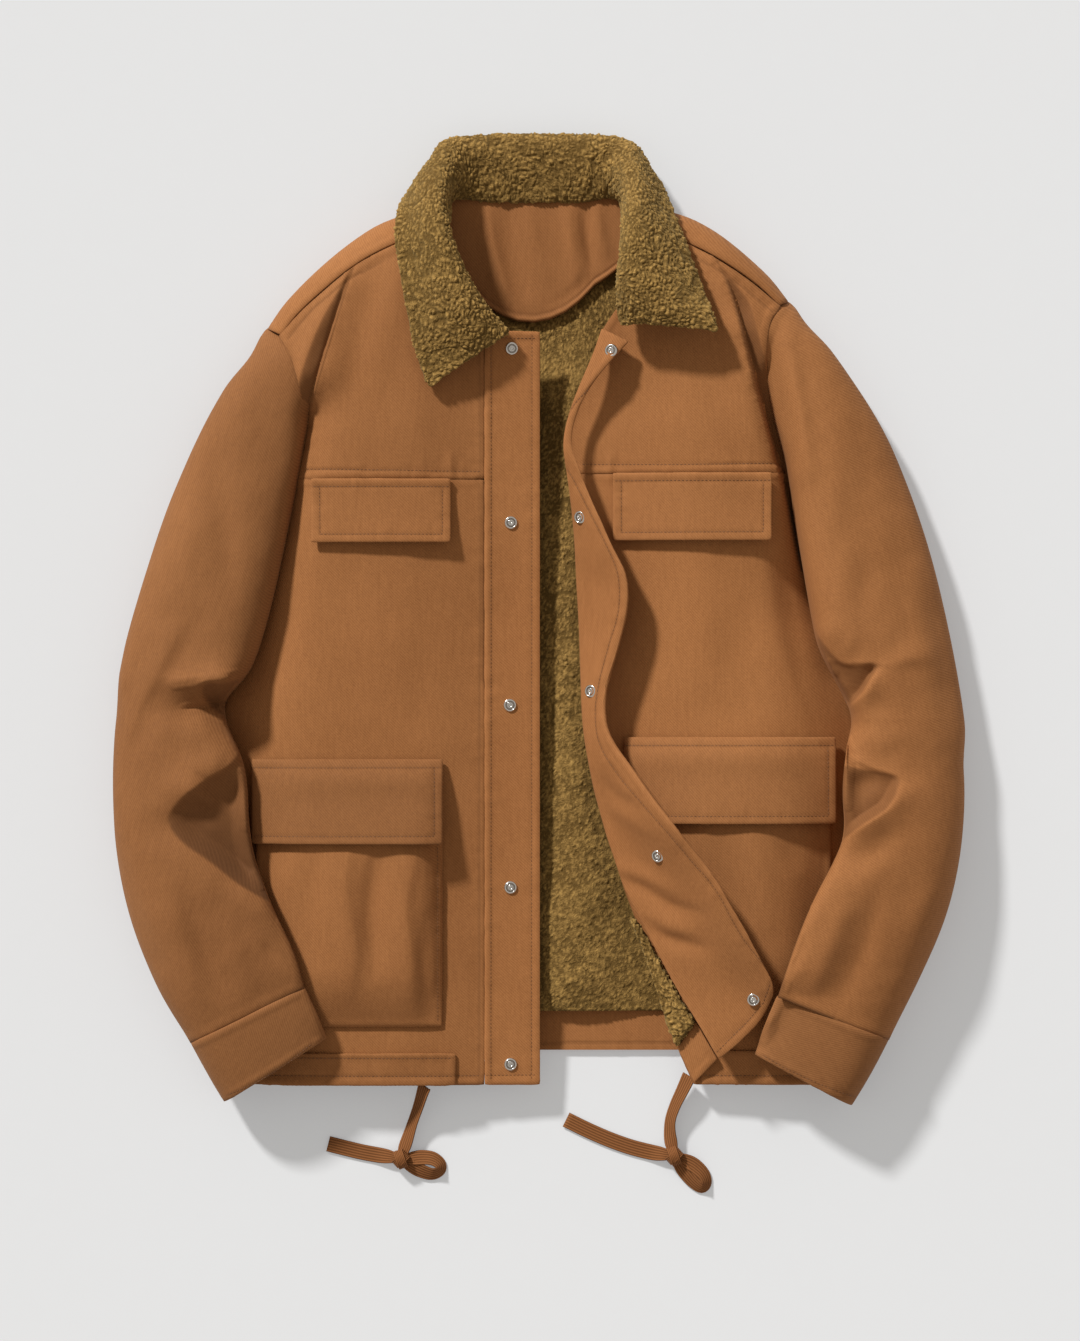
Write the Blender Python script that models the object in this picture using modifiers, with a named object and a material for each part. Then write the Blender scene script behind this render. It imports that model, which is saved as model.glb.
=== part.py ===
"""Sherpa lined work jacket, laid out flat on its back.

Lengths in the tables are millimetres: +X to the right front, +Y to the collar and +Z up, with the
surface that the jacket lies on at Z = 0. Every cloth piece is a wall about its middle surface.
"""

import math

import bmesh
import bpy
from mathutils import Vector
from mathutils.bvhtree import BVHTree

MM = 0.001
COLLECTION = "sherpa_lined_jacket"

SHELL_WALL = 2.0          # shell cloth with its interlining
DOUBLE_WALL = 2.8         # placket, facing and flaps, sewn double
SLEEVE_WALL = 2.2
SHERPA_WALL = 6.0         # backing and pile
COLLAR_WALL = 7.0
SEAM_GAP = 0.3
SLEEVE_HEAD_OUT = 1.2      # from the armhole line to the sleeve's first ring
YOKE_SIDE_IN = 0.5
YOKE_SEAM_GAP = 0.7       # across the rounded forward shoulder seam
REST_GAP = 0.45           # between a piece and what it lies on
FACING_PRESS = 2.2        # how far the turned-back cloth presses down from its clear height
LINING_PRESS = 3.6
HEM_FACING_PRESS = 3.2
MOST_STRETCH = 2.2        # of that gap, measured upright on a steep slope
CENTRE_Y = 0.7            # brings the middle of the jacket's length to Y = 0

HEM_Y = -373.6
BACK_HEM_Y = -347.0
YOKE_SEAM_LEFT_Y = 110.4
YOKE_SEAM_RIGHT_Y = 115.2
BACK_YOKE_Y = 200.0
NECK_SEAM_Y = 334.0
PLACKET_SEAM_X = -43.6
PLACKET_EDGE_X = 0.8
PLACKET_TOP_Y = 228.0
PLATEAU_POWER = 2.3       # how square the front's rounded side is
SLEEVE_POWER = 2.5        # how square a sleeve's section is
SECTION_MIDDLE = 0.42     # where a sleeve is widest, between what it rests on and its top
EDGE_INSET = 1.4          # of the front's middle surface from the body's side line
SLEEVE_STATIONS = 35
FOREARM_Y = -90.0         # below this the sleeves lie partly on the body
BESIDE_REACH = 0.8
ABOVE_REACH = 8.0
SLEEVE_POINTS = 18
HEAD_STATIONS = 5.0       # stations over which a sleeve leaves the armhole's line
CROWN_REACH = 1.18        # how far a collar's control points pass its stand top and fall top

BROWN = (0.33, 0.155, 0.062)
BROWN_DEEP = (0.29, 0.132, 0.052)
OLIVE = (0.24, 0.175, 0.055)
OLIVE_DEEP = (0.19, 0.14, 0.045)
STEEL = (0.72, 0.71, 0.69)

# Edges that the front rounds down to: x, y, height there, width of the rounding.
SIDE_LEFT = [
    (-242.4, -373.6, 3.6, 120), (-242.4, -209.6, 3.6, 120), (-242.4, -129.6, 3.6, 110),
    (-240.8, -93.6, 3.6, 95), (-236.0, -65.6, 3.6, 85), (-227.2, -33.6, 3.6, 75),
    (-216.8, -1.6, 3.6, 70), (-204.8, 46.4, 8.0, 42), (-190.4, 110.4, 18.0, 30), (-181.0, 164.8, 26.0, 34),
]
SHOULDER_LEFT = [
    (-218.0, 230.5, 13.0, 60), (-195.2, 257.6, 16.0, 60), (-167.5, 284.8, 18.0, 60),
    (-149.2, 299.5, 18.0, 60), (-117.9, 320.0, 18.0, 60), (-84.0, 334.0, 22.0, 60),
]
SIDE_RIGHT = [
    (255.2, -373.6, 3.6, 120), (254.4, -185.6, 3.6, 120), (248.8, -129.6, 3.6, 110),
    (242.4, -93.6, 3.6, 95), (235.2, -65.6, 3.6, 85), (224.8, -30.4, 3.6, 75),
    (213.6, 4.8, 3.6, 70), (206.4, 46.4, 8.0, 42), (193.6, 115.2, 22.0, 28), (182.4, 168.8, 30.0, 34),
    (178.4, 196.8, 33.0, 40),
]
SHOULDER_RIGHT = [
    (200.0, 251.5, 14.0, 60), (176.8, 275.6, 17.0, 60), (149.6, 299.5, 18.0, 60),
    (131.2, 312.4, 18.0, 60), (112.8, 322.4, 18.0, 60), (80.0, 334.0, 22.0, 60),
]
ARMHOLE_LEFT = [(-181.0, 164.8), (-187.2, 186.4), (-194.5, 207.0), (-205.0, 224.0), (-218.0, 230.5)]
ARMHOLE_RIGHT = [(178.4, 196.8), (177.8, 210.0), (179.5, 222.0), (183.5, 238.0), (190.5, 247.5),
                 (200.0, 251.5)]

# Height of the fronts by y: y, height over the chest, height at the opening.
LEFT_HEIGHT = [
    (-374, 27, 19), (-340, 31, 21), (-250, 36, 25), (-130, 39, 28), (0, 43, 31), (110, 47, 35),
    (165, 49, 38), (229, 50, 42), (300, 51, 46),
]
RIGHT_HEIGHT = [
    (-374, 26, 17), (-340, 30, 18), (-250, 34, 21), (-130, 38, 24), (0, 43, 27), (110, 47, 30),
    (165, 49, 33), (229, 51, 40), (300, 52, 46),
]

# Soft folds of the fronts, a ridge above 0 and a trough below: x0, y0, x1, y1, rise, half width.
FRONT_FOLDS = [
    (-146, 284, -168, 198, 4.5, 13), (-168, 198, -183, 142, 5.0, 12), (-183, 142, -198, 80, 4.0, 12),
    (-160, 262, -186, 196, -4.5, 10), (-136, 262, -150, 190, -1.6, 12), (-120, 150, -104, 60, 1.2, 20),
    (-170, 60, -150, -60, -1.8, 24), (-60, 200, -62, 120, -1.2, 10), (-110, -10, -96, -100, 1.3, 20),
    (141, 288, 161, 231, 4.5, 13), (161, 231, 174, 191, 5.0, 12), (174, 191, 194, 116, 4.5, 12),
    (194, 116, 206, 56, 3.0, 12), (154, 262, 172, 214, -4.0, 10), (124, 250, 140, 180, -1.6, 12),
    (90, 60, 110, -60, 1.5, 22), (160, 30, 150, -70, -1.8, 24), (84, 128, 92, 190, -1.4, 14),
]

# Where the right front turns back: y, x of the turn, x of the free edge, rise at turn, rise at edge.
TURN_BACK = [
    (-374, 124, 127, 0, 2), (-342, 110, 144, 0, 8), (-323, 102, 162, 0, 6), (-293, 93, 187, 0, 5),
    (-257, 83, 168, 0, 11), (-210, 66, 142, 0, 14), (-166, 52, 108, 0, 14), (-134, 43, 83, 0, 13),
    (-87, 35, 51, 0, 9), (-60, 34, 52, 0, 9), (-30, 33, 61, 0, 12), (0, 32, 70, 0, 15),
    (30, 30, 72, 0, 16), (62, 29, 55, 0, 12), (110, 24, 35, 0, 6), (141, 18, 23, 0, 3),
    (180, 30, 36, 0, 4), (200, 40, 55, 0, 7), (219, 47, 71, 0, 8), (234, 51, 64, 0, 7),
]

# Sleeves from shoulder to cuff seam: outer x, y, inner x, y, height.
SLEEVE_LEFT = [
    (-217, 230, -181, 165, 42), (-233.6, 206.4, -184, 148.8, 48), (-255.2, 172, -188, 130.4, 52),
    (-274.4, 134.4, -192.6, 102.4, 54), (-295.2, 86.4, -200.0, 66.4, 56), (-311.2, 38.4, -207.6, 30.4, 58),
    (-324.8, -9.6, -216.4, -5.6, 60), (-335.2, -57.6, -229.6, -43.2, 62), (-339.2, -81.6, -252.6, -70.4, 61),
    (-341.6, -113.6, -234.4, -111.2, 63), (-341.6, -145.6, -230.4, -145.6, 66),
    (-339.2, -185.6, -226.4, -185.6, 68), (-332.0, -225.6, -215.2, -217.6, 68),
    (-320.8, -261.6, -202.4, -245.6, 67), (-303.2, -301.6, -192.8, -267.2, 64),
    (-280.2, -338.8, -186.2, -291.8, 58),
]
SLEEVE_RIGHT = [
    (199, 251, 178.4, 196.8, 42), (223.2, 224, 182.4, 168.8, 48), (241.6, 198.4, 191.2, 142.4, 52),
    (270.4, 154.4, 197.0, 118.4, 54), (291.2, 108.8, 202.8, 78.4, 56), (308.8, 58.4, 209.0, 42.4, 58),
    (322.4, 6.4, 215.4, 4.8, 60), (332.8, -45.6, 223.0, -27.2, 62), (338.4, -85.6, 248.6, -75.2, 61),
    (340.8, -117.6, 242.4, -105.6, 63), (341.6, -149.6, 239.2, -141.6, 66),
    (337.6, -193.6, 240.8, -176, 68), (327.2, -237.6, 215.2, -225.6, 68),
    (308.8, -281.6, 197.6, -272, 65), (281.6, -336.0, 188.8, -298.4, 58),
]
CUFF_LEFT = [(-280.2, -338.8, -186.2, -291.8, 60), (-268, -362, -177, -312, 57),
             (-253.6, -386.4, -168.8, -333, 52)]
CUFF_RIGHT = [(281.6, -336.0, 188.8, -298.4, 60), (268, -362, 179, -322, 57), (252, -389, 171.2, -346, 52)]
CUFF_GAP = 1.2

# Folds of the sleeves, as for the fronts.
SLEEVE_FOLDS = [
    (-208, -54, -267, -56, 6, 9), (-231, -43, -262, -56, 6, 9), (-240, -66, -292, -70, -11, 9),
    (-250, -82, -268, -60, -9, 9), (-234, -112, -276, -138, 5, 11), (-276, -138, -296, -160, 4, 11),
    (-238, -128, -294, -162, -10, 10), (-294, -164, -232, -212, -10, 10), (-274, -186, -214, -232, 4, 11),
    (-288, 10, -318, -62, -2.5, 12), (-318, -62, -338, -102, -3, 12), (-272, 60, -246, -10, 2.5, 20),
    (-300, -230, -270, -310, 2, 16), (-250, -240, -236, -290, -2, 13),
    (-226, 190, -212, 118, -2.5, 12), (-244, 168, -232, 96, 2, 16),
    (236, -28, 276, -40, -9, 9), (250, -72, 274, -42, 6, 9), (246, -84, 270, -58, -8, 9),
    (246, -104, 268, -122, -10, 10), (268, -118, 294, -124, -9, 10), (290, -132, 262, -160, 5, 11),
    (262, -160, 243, -172, 4, 11), (246, -186, 290, -150, -6, 11),
    (300, 20, 320, -60, -2.5, 12), (266, 60, 246, 0, 2.5, 20), (300, -230, 268, -310, 2, 16),
    (252, -250, 232, -296, -2, 13), (195, 222, 206, 150, -3, 11), (226, 190, 222, 110, 2, 16),
]

# Back yoke stations, left to right: forward seam x, y; silhouette x, y, z; floor x, y; back seam x.
BACK_YOKE_LEFT = [
    (-204.6, 224.6, -217.2, 231.0, 13, -203.0, 226.2, -190.2),
    (-191, 242, -204.5, 246.5, 16, -193, 239, -176),
    (-167, 263, -186, 266.5, 17, -176, 256, -150), (-142, 283, -159, 291, 18, -151, 279, -120),
    (-118, 295, -130, 312, 18, -122, 300, -90), (-97, 304, -103, 325, 18, -98, 313, -66),
]
BACK_YOKE_RIGHT = [
    (190.6, 248.4, 199.2, 252.6, 14, 180.5, 239, 175.4), (168, 268, 177.5, 275.2, 17, 170, 266, 160),
    (143, 284, 149.6, 299.5, 18, 142, 289, 130), (121.6, 296, 131, 312, 18, 124, 300, 104),
    (97, 305, 104, 325, 18, 99, 313, 76),
]
# Round the neck: x, y, z of the neckline, silhouette x, y, z, floor x, y, back seam x.
NECK_LEFT = [
    (-86, 312, 42, -88, 330, 20, -84, 321, -56), (-81, 325, 26, -82, 332.5, 13, -78, 325, -50),
    (-75, 331.5, 13, -76, 333.8, 7, -71, 326, -44), (-66, 333.6, 1, -66, 331.2, 1, -66, 326, -38),
]
NECK_RIGHT = [
    (84, 313, 42, 87, 331, 20, 82, 321, 60), (79, 326, 26, 81, 333, 13, 76, 325, 54),
    (73, 331.5, 13, 74, 333.8, 7, 69, 326, 48), (64, 333.6, 1, 64, 331.2, 1, 64, 326, 40),
]

# Collar from the left tip round the back: stand foot, stand top, fall top, outer edge, each x, y, z.
COLLAR = [
    (-24, 226.5, 55, -30, 223, 58, -54, 206, 60, -85, 186.5, 55),
    (-38, 238, 54, -39, 241, 65, -56, 226, 66, -91, 193, 54),
    (-50, 252, 54, -48, 257, 71, -66, 242, 71, -98, 214, 53),
    (-61, 269, 52, -58, 279, 75, -78, 267, 72, -105, 246, 51),
    (-70, 286, 49, -66, 303, 76, -86, 298, 71, -111, 284, 47),
    (-75, 302, 42, -72, 328, 70, -91, 328, 61, -114, 308, 36),
    (-72, 318, 28, -71, 352, 58, -90, 360, 42, -110, 327, 20),
    (-65, 329, 19, -66, 373, 46, -80, 378, 20, -98, 345, 8),
    (-54, 334.4, 14, -56, 387, 38, -66, 387, 8, -80, 348, 4.4),
    (-34, 334.6, 12.6, -36, 390.4, 34, -38, 390.4, 4, -42, 336, 4),
    (0, 334.6, 12.6, 0, 390.8, 34, 0, 390.8, 4, 0, 334.8, 4),
    (34, 334.6, 12.6, 36, 390.4, 34, 38, 390.4, 4, 42, 336, 4),
    (54, 334.4, 14, 57, 387, 38, 66, 387, 8, 80, 348, 4.4),
    (62, 329, 19, 64, 373, 48, 76, 378, 22, 94, 350, 9),
    (68, 318, 30, 67, 352, 62, 82, 360, 48, 100, 333, 24),
    (70, 302, 44, 66, 328, 76, 84, 328, 70, 108, 314, 42),
    (70, 284, 53, 64, 304, 82, 84, 300, 82, 115, 296, 54),
    (67, 268, 56, 61, 284, 84, 84, 278, 86, 124, 274, 60),
    (66, 254, 58, 61, 266, 82, 86, 258, 86, 132, 250, 66),
    (66, 244, 60, 63, 250, 76, 92, 242, 84, 138, 236, 72),
    (67, 239.5, 61, 70, 236, 68, 98, 231, 77, 139, 228, 73),
]

# Back lining: heights up its straight sides, then its points round the armholes, each x, y.
LINING_INSET = 20.0
LINING_SIDE_YS = (-315.0, -130.0, -60.0, 0.0, 60.0, 120.0, 160.0)
LINING_ARMHOLE_LEFT = [(-140, 210), (-84, 300)]
LINING_ARMHOLE_RIGHT = [(140, 210), (84, 300)]
NECK_FACING_CURVE = [(-63, 282), (-45, 253), (-20, 239), (2, 238), (24, 247), (44, 266), (57, 284)]

# Necklines of the fronts from the shoulder to the opening: x, y.
FRONT_NECK_LEFT = [(-79, 310), (-70, 290), (-58, 264), (-50, 246), (-43.75, 229.0)]
FRONT_NECK_RIGHT = [(78, 311), (76, 292), (71, 270), (67, 254), (59, 241), (49, 229)]

# Pocket pieces: x and y of two opposite corners, then how far the free edge stands off.
CHEST_FLAP_LEFT = (-181.0, 60.0, -70.4, 110.6)
CHEST_FLAP_RIGHT = (59.0, 61.5, 184.5, 115.4)
POCKET_FLAP_LEFT = (-229.0, -180.0, -76.8, -113.0)
POCKET_FLAP_RIGHT = (68.0, -164.0, 237.0, -95.4)
POCKET_BAG_LEFT = [(-226, -326), (-77.5, -326), (-77.2, -128), (-226, -128)]
POCKET_BAG_RIGHT = [(114, -318), (236, -318), (232, -110), (72, -110)]
BAG_DEPTH_LEFT = 13.0
BAG_DEPTH_RIGHT = 13.0
CASING_LEFT = (-224.0, HEM_Y + 0.2, -66.6, -348.0)
CASING_RIGHT = (130.0, HEM_Y + 0.2, 236.0, -346.0)
CASING_WALL = 1.6

# Turned-back front: the seam of its facing and lining up from the hem, then the lining's other edge
# down from there, the facing's outer corner, and the hem facing's corners, each x, y.
FACING_SEAM = [(142.9, -351.2), (125.6, -320.8), (112.4, -300), (99.2, -276), (87.0, -252.0), (78.0, -234)]
LINING_EDGE = [(74.0, -241.5), (78.4, -252), (87.2, -276), (95.2, -300.8), (101.6, -320.8), (110.5, -341.5)]
FACING_CORNER = [
    (142.9, -351.2), (152.0, -344.8), (165.6, -331.2), (178.4, -318.4), (185.6, -300.8), (188.0, -293.0),
]
HEM_FACING = [(111.0, -343.5), (124.5, -371.5), (142.4, -352.4), (125.2, -322.6)]

# Snaps down the placket and snap backs on the facing: x, y.
SNAPS_LEFT = [(-21.6, 214.4), (-22.4, 76.0), (-23.2, -69.6), (-22.8, -215.2), (-22.8, -356.8)]
SNAPS_RIGHT = [(57.4, 211.8), (33.0, 80.0), (41.5, -58.4), (94.4, -188.8), (170.4, -303.2)]
SNAP_RADIUS = 5.0
SNAP_STEPS = 10
# Section of a snap from its axis out: radius, height.
SNAP_PROFILE = [
    (0, 0), (5.0, 0), (5.0, 1.4), (4.0, 2.4), (2.7, 1.0), (1.5, 1.0), (1.1, 2.2), (0, 2.2),
]

TIE_RADIUS = 3.0
TIE_STEP = 8.0
KNOT_RADIUS = 7.0
KNOT_GAP = 0.5
# Routes of the ties on the floor: x, y, z.
TIES = {
    "left": {
        "lead": [(-91.5, -374.2, 24.2), (-93.4, -380, 20.5), (-97.0, -392, 10), (-101.6, -405.6, 4),
                 (-105, -414, 3.6)],
        "knot": (-111.0, -434.4, 7.3),
        "loop": [(-92, -431.4, 3.8), (-83.6, -432.4, 3.6), (-77.8, -439.0, 3.6), (-82.0, -447.4, 3.6),
                 (-92, -446.6, 3.8)],
        "end": [(-130, -431.6, 3.6), (-143, -429.2, 3.5), (-157, -425.8, 3.5), (-169.6, -422.6, 3.5)],
    },
    "right": {
        "lead": [(124.5, -368, 12.8), (119.6, -379, 11.0), (112.2, -391, 7), (106.4, -403, 4),
                 (105.4, -412, 3.6)],
        "knot": (108.6, -432.0, 7.3),
        "loop": [(126, -439.0, 3.8), (134.2, -447.2, 3.6), (134.4, -456.4, 3.6), (126.4, -457.6, 3.6),
                 (118.6, -450.0, 3.8)],
        "end": [(90, -429.4, 3.6), (74, -425.4, 3.5), (57, -419.4, 3.5), (39, -411.6, 3.5),
                (21.8, -403.2, 3.5)],
    },
}


# ---------------------------------------------------------------- curves and tables

def clear_scene():
    for item in list(bpy.data.objects):
        bpy.data.objects.remove(item, do_unlink=True)
    for group in list(bpy.data.collections):
        bpy.data.collections.remove(group)


def mix(a, b, t):
    """Blend of two numbers or of two equally long tuples."""
    if isinstance(a, (tuple, list)):
        return tuple(p + (q - p) * t for p, q in zip(a, b))
    return a + (b - a) * t


def ease(t):
    t = min(max(t, 0.0), 1.0)
    return t * t * (3.0 - 2.0 * t)


def spline_point(a, b, c, d, t):
    """Point at t on the Catmull-Rom stretch from b to c."""
    return tuple(
        0.5 * (2 * q + (r - p) * t + (2 * p - 5 * q + 4 * r - s) * t * t + (3 * q - p - 3 * r + s) * t ** 3)
        for p, q, r, s in zip(a, b, c, d))


def smooth_rows(rows, count):
    """Rows read at even steps from a smooth curve through the table's rows."""
    result = []
    last = len(rows) - 1
    for k in range(count):
        place = k * last / (count - 1)
        i = min(int(place), last - 1)
        before = rows[i - 1] if i > 0 else mix(rows[0], rows[1], -1.0)
        after = rows[i + 2] if i + 2 <= last else mix(rows[last], rows[last - 1], -1.0)
        result.append(spline_point(before, rows[i], rows[i + 1], after, place - i))
    return result


def even_line(points, count, steps=12):
    """Points at even lengths along a smooth curve through a few points."""
    dense = smooth_rows(points, (len(points) - 1) * steps + 1)
    return even_polyline(dense, count)


def even_polyline(points, count):
    lengths = [0.0]
    for a, b in zip(points, points[1:]):
        lengths.append(lengths[-1] + math.dist(a, b))
    result = []
    i = 0
    for k in range(count):
        target = lengths[-1] * k / (count - 1)
        while i < len(points) - 2 and lengths[i + 1] < target:
            i += 1
        span = max(lengths[i + 1] - lengths[i], 1e-9)
        result.append(mix(points[i], points[i + 1], (target - lengths[i]) / span))
    return result


def by_y(table, y):
    """The table's columns after the first, at a y between its rows."""
    if y <= table[0][0]:
        return tuple(table[0][1:])
    for low, high in zip(table, table[1:]):
        if y <= high[0]:
            return tuple(mix(low[1:], high[1:], ease((y - low[0]) / (high[0] - low[0])) * 0.5
                             + (y - low[0]) / (high[0] - low[0]) * 0.5))
    return tuple(table[-1][1:])


def side_x(table, y):
    """x of a side line at a height up the body."""
    for low, high in zip(table, table[1:]):
        if y <= high[1]:
            return mix(low[0], high[0], (y - low[1]) / (high[1] - low[1]))
    return table[-1][0]


# ---------------------------------------------------------------- surface of the fronts

def nearest_on(edge, x, y):
    """Distance to an edge line, and its height and rounding at the nearest point."""
    best = None
    for a, b in zip(edge, edge[1:]):
        dx, dy = b[0] - a[0], b[1] - a[1]
        t = ((x - a[0]) * dx + (y - a[1]) * dy) / (dx * dx + dy * dy)
        t = min(max(t, 0.0), 1.0)
        away = math.hypot(x - a[0] - t * dx, y - a[1] - t * dy)
        if best is None or away < best[0]:
            best = (away, mix(a[2], b[2], t), mix(a[3], b[3], t))
    return best


def rounded(edge, x, y, top):
    away, low, reach = nearest_on(edge, x, y)
    t = 1.0 - min(max(away - EDGE_INSET, 0.0) / reach, 1.0)
    return low + (top - low) * (1.0 - t ** PLATEAU_POWER) ** (1.0 / PLATEAU_POWER)


def fold_rise(folds, x, y):
    """Sum of the soft ridges and troughs at a point."""
    total = 0.0
    for x0, y0, x1, y1, rise, width in folds:
        dx, dy = x1 - x0, y1 - y0
        t = ((x - x0) * dx + (y - y0) * dy) / (dx * dx + dy * dy)
        beyond = max(-t, t - 1.0, 0.0) * math.hypot(dx, dy)
        t = min(max(t, 0.0), 1.0)
        away = math.hypot(x - x0 - t * dx, y - y0 - t * dy)
        if away < 3 * width:
            total += rise * math.exp(-(away / width) ** 2) * math.exp(-(beyond / width) ** 2)
    return total


def front_height(x, y):
    """Middle height of the front cloth, left or right."""
    left = x < 12.0
    side, shoulder = (SIDE_LEFT, SHOULDER_LEFT) if left else (SIDE_RIGHT, SHOULDER_RIGHT)
    chest, opening = by_y(LEFT_HEIGHT if left else RIGHT_HEIGHT, y)
    centre = 0.0 if left else by_y(TURN_BACK, y)[0]
    top = mix(opening, chest, ease(abs(x - centre) / 110.0))
    height = min(rounded(side, x, y, top), rounded(shoulder, x, y, top))
    edge = min(nearest_on(side, x, y)[0], nearest_on(shoulder, x, y)[0])
    return height + fold_rise(FRONT_FOLDS, x, y) * ease(edge / 26.0)


# ---------------------------------------------------------------- meshes

def material(name, colour, roughness, metallic=0.0):
    made = bpy.data.materials.new(name)
    made.use_nodes = True
    shader = made.node_tree.nodes["Principled BSDF"]
    shader.inputs["Base Color"].default_value = (*colour, 1.0)
    shader.inputs["Roughness"].default_value = roughness
    shader.inputs["Metallic"].default_value = metallic
    made.diffuse_color = (*colour, 1.0)
    return made


def add_object(name, data, finish):
    """Object in the jacket's collection, with a material of its own."""
    made = bpy.data.objects.new(name, data)
    bpy.data.collections[COLLECTION].objects.link(made)
    data.materials.append(material(name, *finish))
    return made


def to_world(x, y, z):
    return Vector((x * MM, (y + CENTRE_Y) * MM, z * MM))


def wall(name, rows, thickness, finish, closed=False):
    """Cloth wall about a grid of middle points; closed joins each row's ends into a ring."""
    mesh = bmesh.new()
    grid = [[mesh.verts.new(to_world(*p)) for p in row] for row in rows]
    across = len(rows[0])
    for low, high in zip(grid, grid[1:]):
        for i in range(across if closed else across - 1):
            j = (i + 1) % across
            mesh.faces.new((low[i], low[j], high[j], high[i]))
    bmesh.ops.recalc_face_normals(mesh, faces=mesh.faces)
    if not closed and sum(face.normal.z for face in mesh.faces) < 0:
        bmesh.ops.reverse_faces(mesh, faces=mesh.faces)
    data = bpy.data.meshes.new(name)
    mesh.to_mesh(data)
    mesh.free()
    for face in data.polygons:
        face.use_smooth = True
    made = add_object(name, data, finish)
    solid = made.modifiers.new("cloth", "SOLIDIFY")
    solid.thickness = thickness * MM
    solid.offset = 0.0
    return made


def patch(bottom, right, top, left, across, along):
    """Grid of x, y points between four edge lines; bottom and top run left to right."""
    bottom, top = even_polyline(bottom, across), even_polyline(top, across)
    left, right = even_polyline(left, along), even_polyline(right, along)
    rows = []
    for j in range(along):
        v = j / (along - 1)
        row = []
        for i in range(across):
            u = i / (across - 1)
            blend_v = mix(bottom[i], top[i], v)
            blend_u = mix(left[j], right[j], u)
            low = mix(bottom[0], bottom[-1], u)
            high = mix(top[0], top[-1], u)
            corner = mix(low, high, v)
            row.append(tuple(p + q - r for p, q, r in zip(blend_v, blend_u, corner)))
        rows.append(row)
    return rows


class Below:
    """What is already laid down, for resting the next piece on it."""

    def __init__(self, objects):
        graph = bpy.context.evaluated_depsgraph_get()
        points, faces = [], []
        for item in objects:
            shape = item.evaluated_get(graph).to_mesh()
            start = len(points)
            shape.calc_loop_triangles()
            points.extend(v.co / MM for v in shape.vertices)
            faces.extend([start + k for k in face.vertices] for face in shape.loop_triangles)
            item.evaluated_get(graph).to_mesh_clear()
        self.tree = BVHTree.FromPolygons(points, faces)

    def height(self, x, y):
        hit = self.tree.ray_cast(Vector((x, y + CENTRE_Y, 300.0)), Vector((0.0, 0.0, -1.0)))[0]
        return hit.z if hit else 0.0

    def rest(self, x, y, reach=2.5):
        """Highest point of what is below within a small reach, and how far the slope stretches a gap."""
        here = best = self.height(x, y)
        for k in range(8):
            turn = k * math.pi / 4
            for away in (reach / 2, reach):
                best = max(best, self.height(x + away * math.cos(turn), y + away * math.sin(turn)))
        return best, min(math.hypot(1.0, (best - here) / reach), MOST_STRETCH)

    def middle(self, x, y, thickness, reach=2.5):
        """Middle height of a cloth of some thickness that rests here."""
        best, stretch = self.rest(x, y, reach)
        return best + (thickness / 2 + REST_GAP) * stretch


def laid(name, grid, below, thickness, finish, lift=None, reach=2.5):
    """Piece resting on what is below it; lift(u, v) raises it from there."""
    along, across = len(grid) - 1, len(grid[0]) - 1
    rows = []
    for j, row in enumerate(grid):
        points = []
        for i, (x, y) in enumerate(row):
            z = below.middle(x, y, thickness, reach)
            points.append((x, y, z + (lift(i / across, j / along) if lift else 0.0)))
        rows.append(points)
    return wall(name, rows, thickness, finish)


def rectangle(x0, y0, x1, y1, across, along):
    return patch([(x0, y0), (x1, y0)], [(x1, y0), (x1, y1)], [(x0, y1), (x1, y1)], [(x0, y0), (x0, y1)],
                 across, along)


def even_steps(low, high, count):
    return [mix(low, high, k / (count - 1)) for k in range(count)]


def cut_line(table, y0, y1, inset, count=9):
    """Side line of the body between two heights, moved in from the edge."""
    sign = 1.0 if table[0][0] < 0 else -1.0
    return [(side_x(table, y) + sign * inset, y) for y in even_steps(y0, y1, count)]


# ---------------------------------------------------------------- back, linings and facings

def below_seam(armhole, y, inset):
    """The armhole's points under a height, moved towards the body."""
    sign = 1.0 if armhole[0][0] < 0 else -1.0
    points = [(x + sign * inset, py) for x, py in armhole if py < y]
    low = points[-1]
    high = next((x + sign * inset, py) for x, py in armhole if py >= y)
    return points + [mix(low, high, (y - low[1]) / (high[1] - low[1]))]


def build_back():
    top_y = BACK_YOKE_Y - SEAM_GAP / 2
    left = cut_line(SIDE_LEFT, BACK_HEM_Y, 160.0, 0.6, 16) + below_seam(ARMHOLE_LEFT, top_y, 0.6)
    right = cut_line(SIDE_RIGHT, BACK_HEM_Y, 190.0, 0.6, 16) + below_seam(ARMHOLE_RIGHT, top_y, 0.6)
    grid = patch([left[0], right[0]], right, [left[-1], right[-1]], left, 6, 26)
    flat = [[(x, y, SHELL_WALL / 2) for x, y in row] for row in grid]
    return wall("back_shell", flat, SHELL_WALL, (BROWN, 0.85))


def yoke_section(fx, fy, fz, kx, ky, kz, gx, gy, hx):
    """Across the yoke: forward seam, over the shoulder's edge, along the floor to the back seam."""
    floor = SHELL_WALL / 2
    points = [(fx, fy, fz)]
    for k in (1, 2, 3):
        turn = k * math.pi / 6
        out, up = math.sin(turn), math.cos(turn)
        points.append((mix(fx, kx, out), mix(fy, ky, out), mix(kz, fz, up)))
    for k in (1, 2):
        turn = k * math.pi / 4
        out, down = math.cos(turn), math.sin(turn)
        points.append((mix(gx, kx, out), mix(gy, ky, out), mix(kz, floor, down)))
    seam_y = BACK_YOKE_Y + SEAM_GAP / 2
    points += [(mix(gx, hx, t), mix(gy, seam_y, t), floor) for t in (0.33, 0.66, 1.0)]
    return [(x, y, max(z, floor)) for x, y, z in points]


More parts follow.
